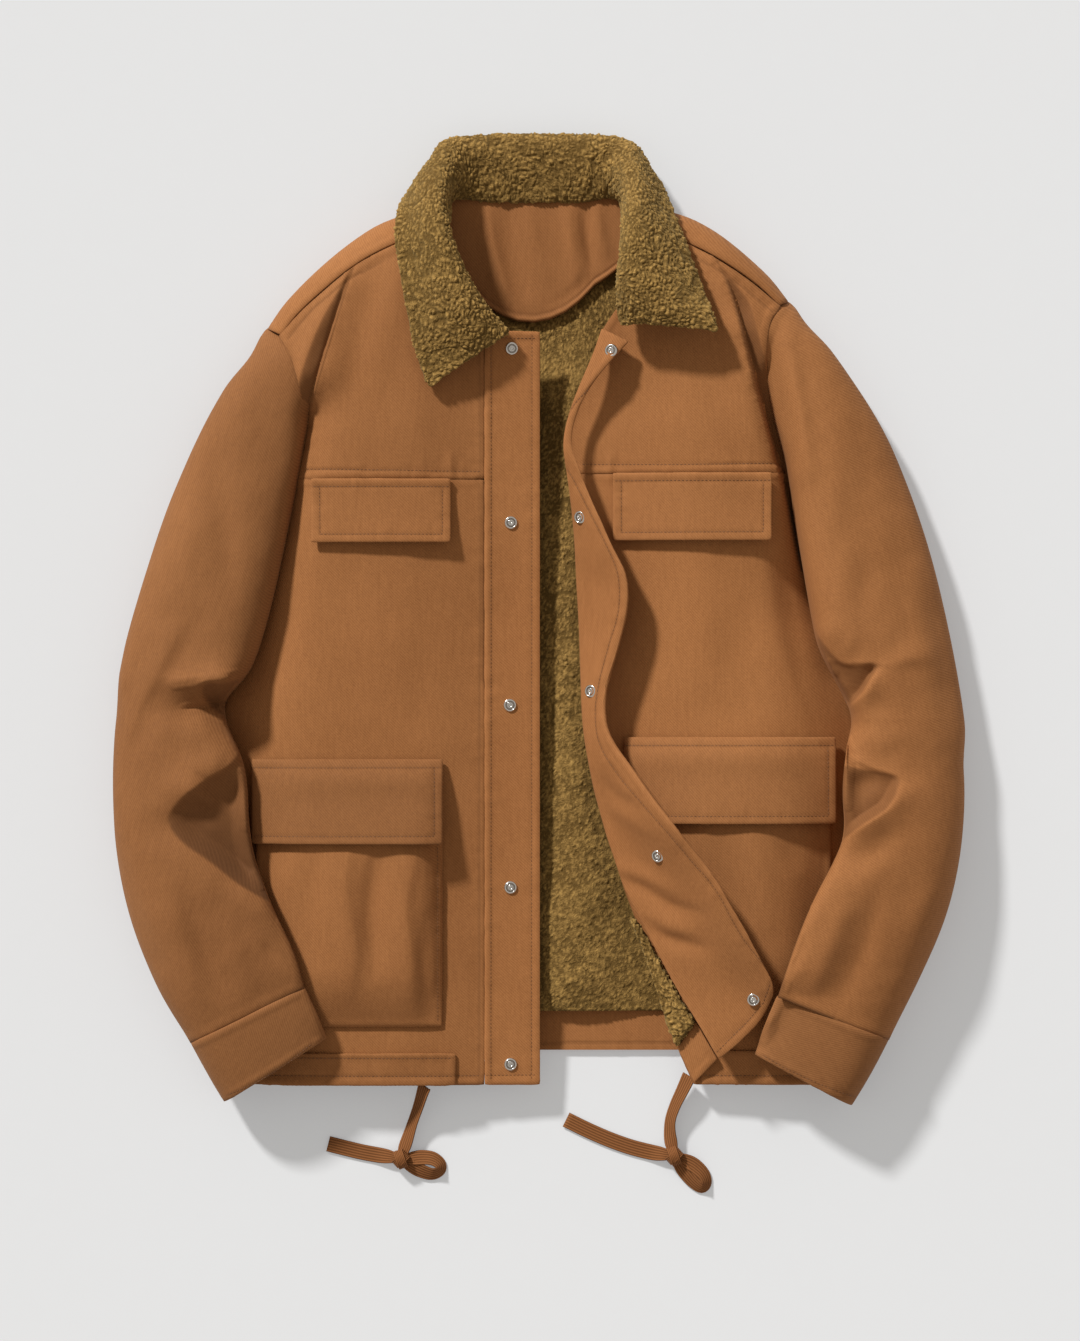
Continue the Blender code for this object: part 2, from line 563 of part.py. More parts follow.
def build_back_yoke():
    def shoulder_rows(table):
        rows = []
        for fx, fy, kx, ky, kz, gx, gy, hx in table:
            away = math.hypot(kx - fx, ky - fy)
            seam_x, seam_y = mix((fx, fy), (kx, ky), YOKE_SEAM_GAP / away)
            rows.append((seam_x, seam_y, front_height(fx, fy), kx, ky, kz, gx, gy, hx))
        return rows
    stations = shoulder_rows(BACK_YOKE_LEFT) + NECK_LEFT
    stations += list(reversed(NECK_RIGHT)) + list(reversed(shoulder_rows(BACK_YOKE_RIGHT)))
    sections = [yoke_section(*row) for row in stations]
    return wall("back_yoke", sections, SHELL_WALL, (BROWN, 0.85))


def build_linings():
    """Flat inner pieces: back lining, back hem facing and neck facing."""
    def flat(name, grid, low, thickness, finish):
        wall(name, [[(x, y, low + thickness / 2) for x, y in row] for row in grid], thickness, finish)

    base = SHELL_WALL + SEAM_GAP
    left = [(side_x(SIDE_LEFT, y) + LINING_INSET, y) for y in LINING_SIDE_YS] + LINING_ARMHOLE_LEFT
    right = [(side_x(SIDE_RIGHT, y) - LINING_INSET, y) for y in LINING_SIDE_YS] + LINING_ARMHOLE_RIGHT
    grid = patch([left[0], right[0]], right, [left[-1], right[-1]], left, 8, 18)
    flat("back_lining", grid, base, SHERPA_WALL, (OLIVE_DEEP, 1.0))
    band = rectangle(left[0][0], BACK_HEM_Y + 0.2, right[0][0], LINING_SIDE_YS[0] - SEAM_GAP, 8, 3)
    flat("back_hem_facing", band, base, SHELL_WALL, (BROWN_DEEP, 0.85))
    curve = even_line(NECK_FACING_CURVE, 13)
    top_y = NECK_SEAM_Y - SEAM_GAP
    low_left, low_right = curve[0], curve[-1]
    top_left, top_right = (low_left[0], top_y), (low_right[0] + 1.0, top_y)
    grid = patch(curve, [low_right, top_right], [top_left, top_right], [low_left, top_left], 13, 6)
    flat("neck_facing", grid, base + SHERPA_WALL + SEAM_GAP, SHELL_WALL, (BROWN_DEEP, 0.85))


# ---------------------------------------------------------------- fronts

def on_front(grid, raise_by=0.0):
    return [[(x, y, front_height(x, y) + raise_by) for x, y in row] for row in grid]


def build_fronts():
    made = []
    gap = SEAM_GAP / 2
    left_neck = even_line(FRONT_NECK_LEFT, 9)
    right_neck = even_line(FRONT_NECK_RIGHT, 9)
    seam_left = [row[:2] for row in BACK_YOKE_LEFT] + [left_neck[0]]
    seam_right = [right_neck[0]] + [row[:2] for row in reversed(BACK_YOKE_RIGHT)]
    left_edge = PLACKET_SEAM_X - gap

    low = YOKE_SEAM_LEFT_Y + gap
    side = cut_line(SIDE_LEFT, low, 160.0, EDGE_INSET, 5)
    side += [(x + YOKE_SIDE_IN, y) for x, y in ARMHOLE_LEFT[:-1]]
    side[-1] = seam_left[0]
    opening = [(left_edge, low)] + list(reversed(left_neck))
    grid = patch([side[0], opening[0]], opening, seam_left, side, 12, 13)
    made.append(wall("left_front_yoke", on_front(grid), SHELL_WALL, (BROWN, 0.85)))

    high = YOKE_SEAM_LEFT_Y - gap
    side = cut_line(SIDE_LEFT, HEM_Y, high, EDGE_INSET, 24)
    grid = patch([side[0], (left_edge, HEM_Y)], [(left_edge, HEM_Y), (left_edge, high)],
                 [side[-1], (left_edge, high)], side, 13, 25)
    made.append(wall("left_front", on_front(grid), SHELL_WALL, (BROWN, 0.85)))

    turn = [(by_y(TURN_BACK, y)[0], y) for y in even_steps(HEM_Y, 229.0, 61)]
    low = YOKE_SEAM_RIGHT_Y + gap
    side = cut_line(SIDE_RIGHT, low, 190.0, EDGE_INSET, 6)
    side += [(x - YOKE_SIDE_IN, y) for x, y in ARMHOLE_RIGHT[:-1]]
    side[-1] = seam_right[-1]
    start = (by_y(TURN_BACK, low)[0], low)
    edge = [start] + [p for p in turn if low < p[1] < 226.0] + list(reversed(right_neck))
    grid = patch([start, side[0]], side, seam_right, edge, 12, 13)
    made.append(wall("right_front_yoke", on_front(grid), SHELL_WALL, (BROWN, 0.85)))

    high = YOKE_SEAM_RIGHT_Y - gap
    side = cut_line(SIDE_RIGHT, HEM_Y, high, EDGE_INSET, 24)
    edge = [p for p in turn if p[1] < high] + [(by_y(TURN_BACK, high)[0], high)]
    grid = patch([edge[0], side[0]], side, [edge[-1], side[-1]], edge, 13, 25)
    made.append(wall("right_front", on_front(grid), SHELL_WALL, (BROWN, 0.85)))
    return made


def build_placket():
    grid = rectangle(PLACKET_SEAM_X + SEAM_GAP / 2, HEM_Y, PLACKET_EDGE_X, PLACKET_TOP_Y, 4, 26)
    return wall("left_placket", on_front(grid, 0.4), DOUBLE_WALL, (BROWN, 0.85))


def lifted_edge(left_lift, right_lift):
    """Free edge of a flap, raised towards its foot."""
    def lift(u, v):
        return (1.0 - v) ** 2 * mix(left_lift, right_lift, u)
    return lift


def bellows(depth, sewn_side, loose_side):
    """Pocket bag that stands off from its sewn edges; the sides are shares of its width."""
    def lift(u, v):
        from_sewn, from_loose = (1.0 - u, u) if sewn_side > 0 else (u, 1.0 - u)
        across = ease(from_sewn / 0.1) * ease(from_loose / loose_side)
        return depth * across * ease(v / 0.16) * mix(0.5, 1.0, ease((1.0 - v) / 0.3))
    return lift


def four_sided(corners, across, along):
    """Grid between four straight edges, from the lower left corner round to the upper left."""
    a, b, c, d = corners
    return patch([a, b], [b, c], [d, c], [a, d], across, along)


def build_pockets(below):
    brown = (BROWN, 0.85)
    return [
        laid("left_chest_flap", rectangle(*CHEST_FLAP_LEFT, 9, 5), below, DOUBLE_WALL, brown,
             lifted_edge(3.0, 6.0), 6.0),
        laid("left_pocket_bag", four_sided(POCKET_BAG_LEFT, 13, 11), below, SHELL_WALL, brown,
             bellows(BAG_DEPTH_LEFT, 1, 0.3)),
        laid("left_hem_casing", rectangle(*CASING_LEFT, 12, 3), below, CASING_WALL, brown),
        laid("right_chest_flap", rectangle(*CHEST_FLAP_RIGHT, 10, 5), below, DOUBLE_WALL, brown,
             lifted_edge(3.0, 6.0), 5.0),
        laid("right_pocket_bag", four_sided(POCKET_BAG_RIGHT, 12, 11), below, SHELL_WALL, brown,
             bellows(BAG_DEPTH_RIGHT, -1, 0.3)),
        laid("right_hem_casing", rectangle(*CASING_RIGHT, 10, 3), below, CASING_WALL, brown),
    ]


def build_pocket_flaps(below):
    brown = (BROWN, 0.85)
    return [
        laid("left_pocket_flap", rectangle(*POCKET_FLAP_LEFT, 12, 6), below, DOUBLE_WALL, brown,
             lifted_edge(1.0, 5.0), 7.0),
        laid("right_pocket_flap", rectangle(*POCKET_FLAP_RIGHT, 13, 6), below, DOUBLE_WALL, brown,
             lifted_edge(3.0, 3.0), 7.0),
    ]


def turned_height(x, y, base):
    """Middle height of the turned-back edge over what lies below."""
    turn, edge, rise_turn, rise_edge = by_y(TURN_BACK, y)
    across = min(max((x - turn) / max(edge - turn, 4.0), 0.0), 1.0)
    return base + mix(rise_turn, rise_edge, math.sin(across * math.pi / 2))


def taut(heights, passes=14):
    """Heights smoothed like stretched cloth, never below where they began."""
    base = [list(row) for row in heights]
    for _ in range(passes):
        heights = [[max(base[j][i], neighbour_mean(heights, i, j)) for i in range(len(base[0]))]
                   for j in range(len(base))]
    return heights


def neighbour_mean(heights, i, j):
    near = [heights[n][m] for n, m in ((j - 1, i), (j + 1, i), (j, i - 1), (j, i + 1))
            if 0 <= n < len(heights) and 0 <= m < len(heights[0])]
    return sum(near) / len(near)


def build_turned_front(below):
    """Facing, lining strip and hem facing that lie face up where the right front turns back."""
    def turned(name, grid, thickness, finish, press):
        base = taut([[below.middle(x, y, thickness, 6.0) for x, y in row] for row in grid])
        rows = [[(x, y, turned_height(x, y, z) - press) for (x, y), z in zip(points, heights)]
                for points, heights in zip(grid, base)]
        return wall(name, rows, thickness, finish)

    def turn_line(column, y0, y1, count):
        return [(by_y(TURN_BACK, y)[column], y) for y in even_steps(y0, y1, count)]
    left = FACING_SEAM + turn_line(0, -214, 230, 34)
    right = [FACING_CORNER[-1]] + turn_line(1, -283, 219, 34)
    grid = patch(FACING_CORNER, right, [left[-1], right[-1]], left, 6, 32)
    facing = turned("right_facing", grid, DOUBLE_WALL, (BROWN_DEEP, 0.85), FACING_PRESS)
    seam = [(x - 1.9, y - 1.1) for x, y in reversed(FACING_SEAM[1:])]
    seam[0] = (77.4, -243.0)
    grid = patch(LINING_EDGE, [LINING_EDGE[-1], seam[-1]], seam, [LINING_EDGE[0], seam[0]], 12, 5)
    turned("right_front_lining", grid, SHERPA_WALL - 1.0, (OLIVE, 1.0), LINING_PRESS)
    hem = four_sided(HEM_FACING, 5, 5)
    turned("right_hem_facing", hem, SHELL_WALL, (BROWN_DEEP, 0.85), HEM_FACING_PRESS)
    return facing


# ---------------------------------------------------------------- sleeves and cuffs

def ring(outer, inner, top, count, wall_thickness, below, armhole=None, share=0.0):
    """One closed section of a sleeve, from its outer edge over the top to its inner edge and back."""
    axis_x, axis_y = inner[0] - outer[0], inner[1] - outer[1]
    width = math.hypot(axis_x, axis_y)
    inset = (wall_thickness / 2 + 0.5) / width
    floor = wall_thickness / 2
    power = 2.0 / SLEEVE_POWER
    line = even_polyline(armhole, 33) if armhole else None
    points = []
    for k in range(count):
        turn = 2 * math.pi * k / count
        c, s = math.cos(turn), math.sin(turn)
        place = 0.5 - 0.5 * math.copysign(abs(c) ** power, c)
        place = inset + place * (1 - 2 * inset)
        x, y = outer[0] + axis_x * place, outer[1] + axis_y * place
        if line and share > 0:
            x, y = mix((x, y), line[int(round(place * 32))], share)
        reach = BESIDE_REACH if y > FOREARM_Y else ABOVE_REACH
        base = floor
        if below.rest(x, y, reach)[0] > 0:
            base = max(floor, below.middle(x, y, wall_thickness, reach))
        roof = mix(top, max(front_height(x, y), base + 4.0), share)
        middle = mix(base, roof, SECTION_MIDDLE)
        if s >= 0:
            z = middle + (roof - middle) * abs(s) ** power
            z += fold_rise(SLEEVE_FOLDS, x, y) * min(s * 1.6, 1.0)
            z = max(z, middle + 0.2 * (roof - middle) * min(s * 3.0, 1.0))
        else:
            z = middle - (middle - base) * abs(s) ** power
        points.append((x, y, z))
    return points


def build_sleeve(side, table, armhole, below, stations, count):
    sign = -1.0 if side == "left" else 1.0
    seam = [(x + sign * SLEEVE_HEAD_OUT, y - SLEEVE_HEAD_OUT / 2) for x, y in reversed(armhole)]
    rows = []
    for k, (ox, oy, ix, iy, top) in enumerate(smooth_rows(table, stations)):
        share = 1.0 - ease(k / HEAD_STATIONS)
        rows.append(ring((ox, oy), (ix, iy), top, count, SLEEVE_WALL, below, seam, share))
    return wall(side + "_sleeve", rows, SLEEVE_WALL, (BROWN, 0.85), closed=True)


def build_cuff(side, table, below, count):
    first = table[0]
    last = table[-1]
    away = math.dist(first[:2], last[:2])
    shift = ((last[0] - first[0]) / away * CUFF_GAP, (last[1] - first[1]) / away * CUFF_GAP)
    rows = []
    for ox, oy, ix, iy, top in smooth_rows(table, 5):
        rows.append(ring((ox + shift[0], oy + shift[1]), (ix + shift[0], iy + shift[1]), top, count,
                         DOUBLE_WALL, below))
    return wall(side + "_cuff", rows, DOUBLE_WALL, (BROWN, 0.85), closed=True)


# ---------------------------------------------------------------- collar

def bent(foot, top, fall, edge, count):
    """Smooth line that starts at the foot, bends over between top and fall, and ends at the edge."""
    points = []
    for k in range(count):
        t = k / (count - 1)
        a, b, c = mix(foot, top, t), mix(top, fall, t), mix(fall, edge, t)
        points.append(mix(mix(a, b, t), mix(b, c, t), t))
    return points


def stretched(foot, top, fall, edge):
    """Control points that bring a cubic's crown up to the named top and fall points."""
    return foot, mix(foot, top, CROWN_REACH), mix(edge, fall, CROWN_REACH), edge


def build_collar(below):
    rows = []
    for row in smooth_rows(COLLAR, 2 * len(COLLAR) - 1):
        foot, top, fall, edge = row[0:3], row[3:6], row[6:9], row[9:12]
        line = bent(*stretched(foot, top, fall, edge), 9)
        raised = []
        for x, y, z in line:
            rest = below.middle(x, y, COLLAR_WALL, 6.0) + 0.3
            floor = COLLAR_WALL / 2
            raised.append((x, y, max(z, floor, rest if y < NECK_SEAM_Y - 1.0 else floor)))
        rows.append(raised)
    return wall("collar", rows, COLLAR_WALL, (OLIVE, 1.0))


# ---------------------------------------------------------------- snaps and ties

def build_snap(name, x, y, below):
    """Ring snap turned about its axis, set square on the cloth with a stud in its middle."""
    reach = SNAP_RADIUS + 0.3
    slope_x = (below.height(x + reach, y) - below.height(x - reach, y)) / (2 * reach)
    slope_y = (below.height(x, y + reach) - below.height(x, y - reach)) / (2 * reach)
    base = below.height(x, y)
    for k in range(32):
        turn = k * math.pi / 16
        dx, dy = reach * math.cos(turn), reach * math.sin(turn)
        for share in (0.2, 0.4, 0.6, 0.8, 0.9, 1.0):
            over = below.height(x + dx * share, y + dy * share) - (dx * slope_x + dy * slope_y) * share
            base = max(base, over)
    base += REST_GAP * math.sqrt(1 + slope_x ** 2 + slope_y ** 2)
    mesh = bmesh.new()
    points = [mesh.verts.new((r * MM, 0.0, z * MM)) for r, z in SNAP_PROFILE]
    for a, b in zip(points, points[1:]):
        mesh.edges.new((a, b))
    data = bpy.data.meshes.new(name)
    mesh.to_mesh(data)
    mesh.free()
    made = add_object(name, data, (STEEL, 0.28, 1.0))
    turned = made.modifiers.new("turned", "SCREW")
    turned.axis = "Z"
    turned.steps = SNAP_STEPS
    turned.render_steps = SNAP_STEPS
    turned.use_merge_vertices = True
    turned.merge_threshold = 0.00001
    turned.use_normal_calculate = True
    turned.use_smooth_shade = True
    made.location = to_world(x, y, base)
    made.rotation_mode = "QUATERNION"
    made.rotation_quaternion = Vector((-slope_x, -slope_y, 1.0)).to_track_quat("Z", "Y")
    return made


def build_cord(name, route):
    """Tie drawn as a round tube along its route."""
    data = bpy.data.curves.new(name, "CURVE")
    data.dimensions = "3D"
    data.bevel_depth = TIE_RADIUS * MM
    data.bevel_resolution = 2
    data.use_fill_caps = True
    points = even_line(route, max(8, int(sum(math.dist(a, b) for a, b in zip(route, route[1:])) / TIE_STEP)))
    spline = data.splines.new("POLY")
    spline.points.add(len(points) - 1)
    for point, place in zip(spline.points, points):
        point.co = (*to_world(*place), 1.0)
    return add_object(name, data, (BROWN_DEEP, 0.85))


def build_knot(name, centre):
    mesh = bmesh.new()
    bmesh.ops.create_uvsphere(mesh, u_segments=10, v_segments=6, radius=KNOT_RADIUS * MM)
    data = bpy.data.meshes.new(name)
    mesh.to_mesh(data)
    mesh.free()
    for face in data.polygons:
        face.use_smooth = True
    made = add_object(name, data, (BROWN_DEEP, 0.85))
    made.location = to_world(*centre)
    return made


def from_knot(knot, towards):
    """Two points of a tie that leaves its knot square to the knot's face."""
    away = math.dist(towards, knot)
    return [mix(knot, towards, (KNOT_RADIUS + out) / away) for out in (KNOT_GAP, 3.5)]


def build_ties():
    for side, parts in TIES.items():
        knot, lead, loop, end = parts["knot"], parts["lead"], parts["loop"], parts["end"]
        build_knot("tie_" + side + "_knot", knot)
        build_cord("tie_" + side + "_lead", lead + list(reversed(from_knot(knot, lead[-1]))))
        back = list(reversed(from_knot(knot, loop[-1])))
        build_cord("tie_" + side + "_loop", from_knot(knot, loop[0]) + loop + back)
        build_cord("tie_" + side + "_end", from_knot(knot, end[0]) + end)


def main():
    clear_scene()
    group = bpy.data.collections.new(COLLECTION)
    bpy.context.scene.collection.children.link(group)
    bpy.context.scene.unit_settings.system = "METRIC"
    back = build_back()
    yoke = build_back_yoke()
    build_linings()
    fronts = build_fronts()
    placket = build_placket()
    bpy.context.view_layer.update()
    shells = Below([back, yoke, placket, *fronts])
    pieces = [back, yoke, placket, *fronts, *build_pockets(shells)]
    bpy.context.view_layer.update()
    pieces += build_pocket_flaps(Below(pieces))
    bpy.context.view_layer.update()
    pieces.append(build_turned_front(Below(pieces)))
    bpy.context.view_layer.update()
    everything = Below(pieces)
    for side, table, armhole, cuff in (("left", SLEEVE_LEFT, ARMHOLE_LEFT, CUFF_LEFT),
                                       ("right", SLEEVE_RIGHT, ARMHOLE_RIGHT, CUFF_RIGHT)):
        build_sleeve(side, table, armhole, everything, SLEEVE_STATIONS, SLEEVE_POINTS)
        build_cuff(side, cuff, everything, SLEEVE_POINTS)
    build_collar(everything)
    for k, (x, y) in enumerate(SNAPS_LEFT):
        build_snap("snap_left_" + str(k + 1), x, y, everything)
    for k, (x, y) in enumerate(SNAPS_RIGHT):
        build_snap("snap_right_" + str(k + 1), x, y, everything)
    build_ties()


main()
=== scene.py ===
"""A sherpa lined work jacket laid flat: cloth, pile, sewing, snaps and ties over its packed solids.

Tables are in millimetres: X to the jacket's right front, Y to its collar, Z up from the floor.
Their zero in Y lies BODY_SHIFT further to the collar than the frame's.
"""

import math
import random
from contextlib import contextmanager

import bmesh
import bpy
import numpy as np
from bpy.props import FloatProperty, FloatVectorProperty, IntProperty, PointerProperty
from mathutils import Matrix, Vector
from mathutils.bvhtree import BVHTree
from mathutils.kdtree import KDTree


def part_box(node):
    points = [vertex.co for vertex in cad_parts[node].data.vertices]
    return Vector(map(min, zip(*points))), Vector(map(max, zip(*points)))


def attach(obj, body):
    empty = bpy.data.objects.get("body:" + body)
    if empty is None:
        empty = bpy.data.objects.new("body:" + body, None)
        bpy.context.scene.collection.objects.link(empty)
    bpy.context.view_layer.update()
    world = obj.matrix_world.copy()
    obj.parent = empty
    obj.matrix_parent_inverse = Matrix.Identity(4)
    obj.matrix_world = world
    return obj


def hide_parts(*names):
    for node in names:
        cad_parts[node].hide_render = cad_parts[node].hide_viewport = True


bl_info = {
    "name": "Sherpa Lined Jacket",
    "version": (1, 0, 0),
    "blender": (4, 5, 0),
    "location": "3D View > Sidebar > Jacket",
    "description": "Dresses the jacket's solids in twill, sherpa pile, stitching, snaps and ties",
    "category": "Object",
}

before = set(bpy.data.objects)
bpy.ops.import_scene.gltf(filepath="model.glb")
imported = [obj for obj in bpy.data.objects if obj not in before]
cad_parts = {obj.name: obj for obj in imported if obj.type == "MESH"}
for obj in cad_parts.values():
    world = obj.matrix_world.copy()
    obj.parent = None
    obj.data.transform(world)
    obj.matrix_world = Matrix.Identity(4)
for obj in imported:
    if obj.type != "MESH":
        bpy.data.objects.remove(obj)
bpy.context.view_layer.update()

MM = 0.001
BODY_SHIFT = 0.7


# ---------------------------------------------------------------- sizes and colours

def measure(name, text, default, low=0.0):
    return FloatProperty(name=name, description=text, default=default, min=low)


def colour(name, text, default):
    return FloatVectorProperty(name=name, description=text, subtype="COLOR", size=3, default=default)


class JacketSizes(bpy.types.PropertyGroup):
    """Sizes of the cloth, sewing and pile, in millimetres."""
    twill_pitch: measure("Twill pitch", "Between two twill ridges", 1.7, 0.3)
    twill_relief: measure("Twill relief", "Height of a twill ridge", 0.14)
    stitch_length: measure("Stitch length", "Length of one stitch", 2.2, 0.5)
    stitch_step: measure("Stitch step", "From one stitch to the next", 3.1, 1.0)
    thread_width: measure("Thread width", "Width of the thread", 0.56, 0.1)
    pucker: measure("Pucker", "Rise of the ripples along sewn lines", 0.34)
    roll: measure("Edge roll", "Fullness between an edge and its stitching", 0.55)
    clump: measure("Pile clump", "Width of one clump of pile", 3.4, 1.0)
    pile_depth: measure("Pile depth", "Depth between clumps of pile", 2.6)
    tape_width: measure("Tie width", "Width of the tie tape", 12.5, 2.0)
    tape_thickness: measure("Tie thickness", "Thickness of the tie tape", 1.5)
    tape_ribs: IntProperty(name="Tie ribs", description="Ribs across the tape", default=6, min=1)


class JacketColours(bpy.types.PropertyGroup):
    """Colours of the cloth, pile, thread, metal and floor."""
    brown: colour("Twill", "Lit twill", (0.380, 0.159, 0.053))
    brown_low: colour("Twill between ridges", "Darker yarn of the twill", (0.225, 0.084, 0.023))
    olive_tip: colour("Pile tips", "Tips of the pile", (0.425, 0.256, 0.076))
    # Painted shade: the colour the pile is darkened to deep between its clumps.
    olive_root_painted_shade: colour("Pile roots", "Deep between the clumps", (0.120, 0.066, 0.015))
    thread: colour("Thread", "Sewing thread", (0.185, 0.074, 0.024))
    steel: colour("Snap metal", "Plated metal of the snaps", (0.80, 0.79, 0.77))
    floor: colour("Floor", "Pale floor", (0.494, 0.503, 0.516))


class StudioSetup(bpy.types.PropertyGroup):
    """Lights and camera."""
    key_strength: measure("Key strength", "Strength of the key light", 3.85)
    key_softness: FloatProperty(name="Key softness", description="Angle the key light fills",
                                subtype="ANGLE", default=math.radians(6.0))
    fill_strength: measure("Fill strength", "Brightness all round", 0.46)
    floor_glow: measure("Floor glow", "Light of the lit table itself", 0.25)
    camera_height: FloatProperty(name="Camera height", description="Camera above the floor",
                                 unit="LENGTH", default=4.05)


def sizes():
    return bpy.context.scene.jacket_sizes


def colours():
    return bpy.context.scene.jacket_colours


# ---------------------------------------------------------------- fields over points, in millimetres

def hashed(cells, seed):
    """Even numbers from 0 to 1, one for each whole-number cell."""
    n = cells[..., 0] * 73856093 ^ cells[..., 1] * 19349663 ^ cells[..., 2] * 83492791 ^ (seed * 2654435 + 97)
    n = ((n ^ (n >> 13)) * 1274126177) & 0x7FFFFFFF
    return ((n ^ (n >> 15)) & 0xFFFF) / 65535.0


def cloudy(points, size, seed):
    """Smooth field from -1 to 1 with swells of about that size."""
    place = points / size
    base = np.floor(place).astype(np.int64)
    part = place - base
    part = part * part * (3.0 - 2.0 * part)
    total = np.zeros(len(points))
    for corner in np.ndindex(2, 2, 2):
        weight = np.prod(np.where(np.array(corner), part, 1.0 - part), axis=1)
        total += weight * hashed(base + np.array(corner), seed)
    return total * 2.0 - 1.0


def clumps(points, size, seed):
    """Distances to the nearest and the second nearest clump centre, in clump widths."""
    place = points / size
    base = np.floor(place).astype(np.int64)
    first = np.full(len(points), 9.0)
    second = np.full(len(points), 9.0)
    for offset in np.ndindex(3, 3, 3):
        cell = base + np.array(offset) - 1
        centre = cell + np.stack([hashed(cell, seed + k) for k in range(3)], axis=1)
        away = np.linalg.norm(place - centre, axis=1)
        second = np.minimum(second, np.maximum(first, away))
        first = np.minimum(first, away)
    return first, second


def eased(t):
    t = np.clip(t, 0.0, 1.0)
    return t * t * (3.0 - 2.0 * t)


def ramp(values, start, end):
    """0 before the start, 1 beyond the end, eased between; the end may lie below the start."""
    return eased((values - start) / (end - start))


def bell(distance, width):
    """1 at no distance, falling away within about a width."""
    return np.exp(-(distance / width) ** 2)


def smooth_line(points, steps=6):
    """Points close together on a smooth curve through a few."""
    points = [np.array(p, float) for p in points]
    if len(points) < 3:
        return np.array(points)
    ends = [2 * points[0] - points[1]] + points + [2 * points[-1] - points[-2]]
    line = []
    for k in range(1, len(ends) - 2):
        p, q, r, s = ends[k - 1:k + 3]
        for t in np.arange(steps) / steps:
            line.append(0.5 * (2 * q + (r - p) * t + (2 * p - 5 * q + 4 * r - s) * t ** 2
                               + (3 * q - p - 3 * r + s) * t ** 3))
    return np.array(line + [points[-1]])


def beside(xy, line):
    """Distance of points from a line, how far along it they lie, and its length."""
    away = np.full(len(xy), 1e9)
    run = np.zeros(len(xy))
    start = 0.0
    for a, b in zip(line, line[1:]):
        step = b - a
        length = max(float(np.hypot(*step)), 1e-6)
        t = np.clip(((xy - a) @ step) / length ** 2, 0.0, 1.0)
        off = xy - a - t[:, None] * step
        distance = np.hypot(off[:, 0], off[:, 1])
        near = distance < away
        away = np.where(near, distance, away)
        run = np.where(near, start + t * length, run)
        start += length
    return away, run, start


def reach_of(line):
    """How far along the line each of its points lies."""
    return np.concatenate([[0.0], np.cumsum(np.hypot(*np.diff(line, axis=0).T))])


def spaced(line, step):
    """The line's points at even steps."""
    reach = reach_of(line)
    at = np.linspace(0.0, reach[-1], max(3, int(reach[-1] / step) + 1))
    return np.stack([np.interp(at, reach, line[:, 0]), np.interp(at, reach, line[:, 1])], axis=1)


FOLD_STEP = 4.0         # between the soft bumps that make up a fold
FOLD_BLEND = 5.5
HOLLOW_BLEND = 2.4      # rounding of a hollow's first line
END_TAPER = 40.0        # length over which a pushed edge fades at its ends


def folds_at(xy, folds):
    """Height of soft ridges and troughs at points.

    A fold is its rise, its width to the left and to the right of its line, and the line.
    """
    total = np.zeros(len(xy))
    for rise, left, right, points in folds:
        line = spaced(smooth_line(points), FOLD_STEP)
        reach = 2.6 * max(left, right) + FOLD_BLEND
        near = np.flatnonzero(np.all((xy > line.min(0) - reach) & (xy < line.max(0) + reach), axis=1))
        ahead = np.gradient(line, axis=0)
        ahead /= np.hypot(*ahead.T)[:, None]
        part = np.zeros(len(near))
        for k, (spot, way) in enumerate(zip(line, ahead)):
            off = xy[near] - spot
            along = off @ way
            across = off @ np.array([-way[1], way[0]])
            width = np.where(across > 0, left, right)
            taper = math.sin(math.pi * (k + 0.5) / len(line)) ** 0.6
            part += taper * np.exp(-(along / FOLD_BLEND) ** 2 - (across / width) ** 2)
        total[near] += rise * part * FOLD_STEP / (FOLD_BLEND * math.sqrt(math.pi))
    return total


def within(xy, ring):
    """Which points lie inside a closed ring."""
    found = np.zeros(len(xy), bool)
    for a, b in zip(ring, np.roll(ring, -1, axis=0)):
        crosses = (a[1] > xy[:, 1]) != (b[1] > xy[:, 1])
        at = a[0] + (xy[:, 1] - a[1]) * (b[0] - a[0]) / (b[1] - a[1] if b[1] != a[1] else 1e-9)
        found ^= crosses & (xy[:, 0] < at)
    return found


def hollows_at(xy, hollows):
    """Height, below 0, of the hollows under folds at points, and how shaded they are."""
    total, shade = np.zeros(len(xy)), np.zeros(len(xy))
    for slope, depth, lip, dark, first, second in hollows:
        first, second = smooth_line(first), smooth_line(second)
        near = np.flatnonzero(within(xy, np.vstack([first, second[::-1]])))
        if not len(near):
            continue
        down = beside(xy[near], first)[0]
        back = beside(xy[near], second)[0]
        drop = slope * (np.sqrt(down ** 2 + HOLLOW_BLEND ** 2) - HOLLOW_BLEND)
        total[near] -= depth * np.tanh(drop / depth) * eased(back / lip)
        across = down / np.maximum(down + back, 0.1)
        edges = ramp(down, 0.0, 2.5) * ramp(back, 0.0, 3.0)
        shade[near] = (dark[0] + (dark[1] - dark[0]) * eased(across)) * edges
    return total, shade


def push_edge(points, amount, reach, line):
    """Moves points near a line to the line's left by an amount, less with distance and towards its ends."""
    line = smooth_line(line)
    away, run, whole = beside(points[:, :2], line)
    ahead = np.gradient(line, axis=0)
    way = np.stack([np.interp(run, reach_of(line), ahead[:, k]) for k in (0, 1)], axis=1)
    way /= np.maximum(np.hypot(*way.T), 1e-6)[:, None]
    ends = eased(np.minimum(run, whole - run) / END_TAPER + 0.05)
    near = amount * np.clip(1.0 - away / reach, 0.0, 1.0) ** 1.3 * ends
    points[:, 0] -= near * way[:, 1]
    points[:, 1] += near * way[:, 0]


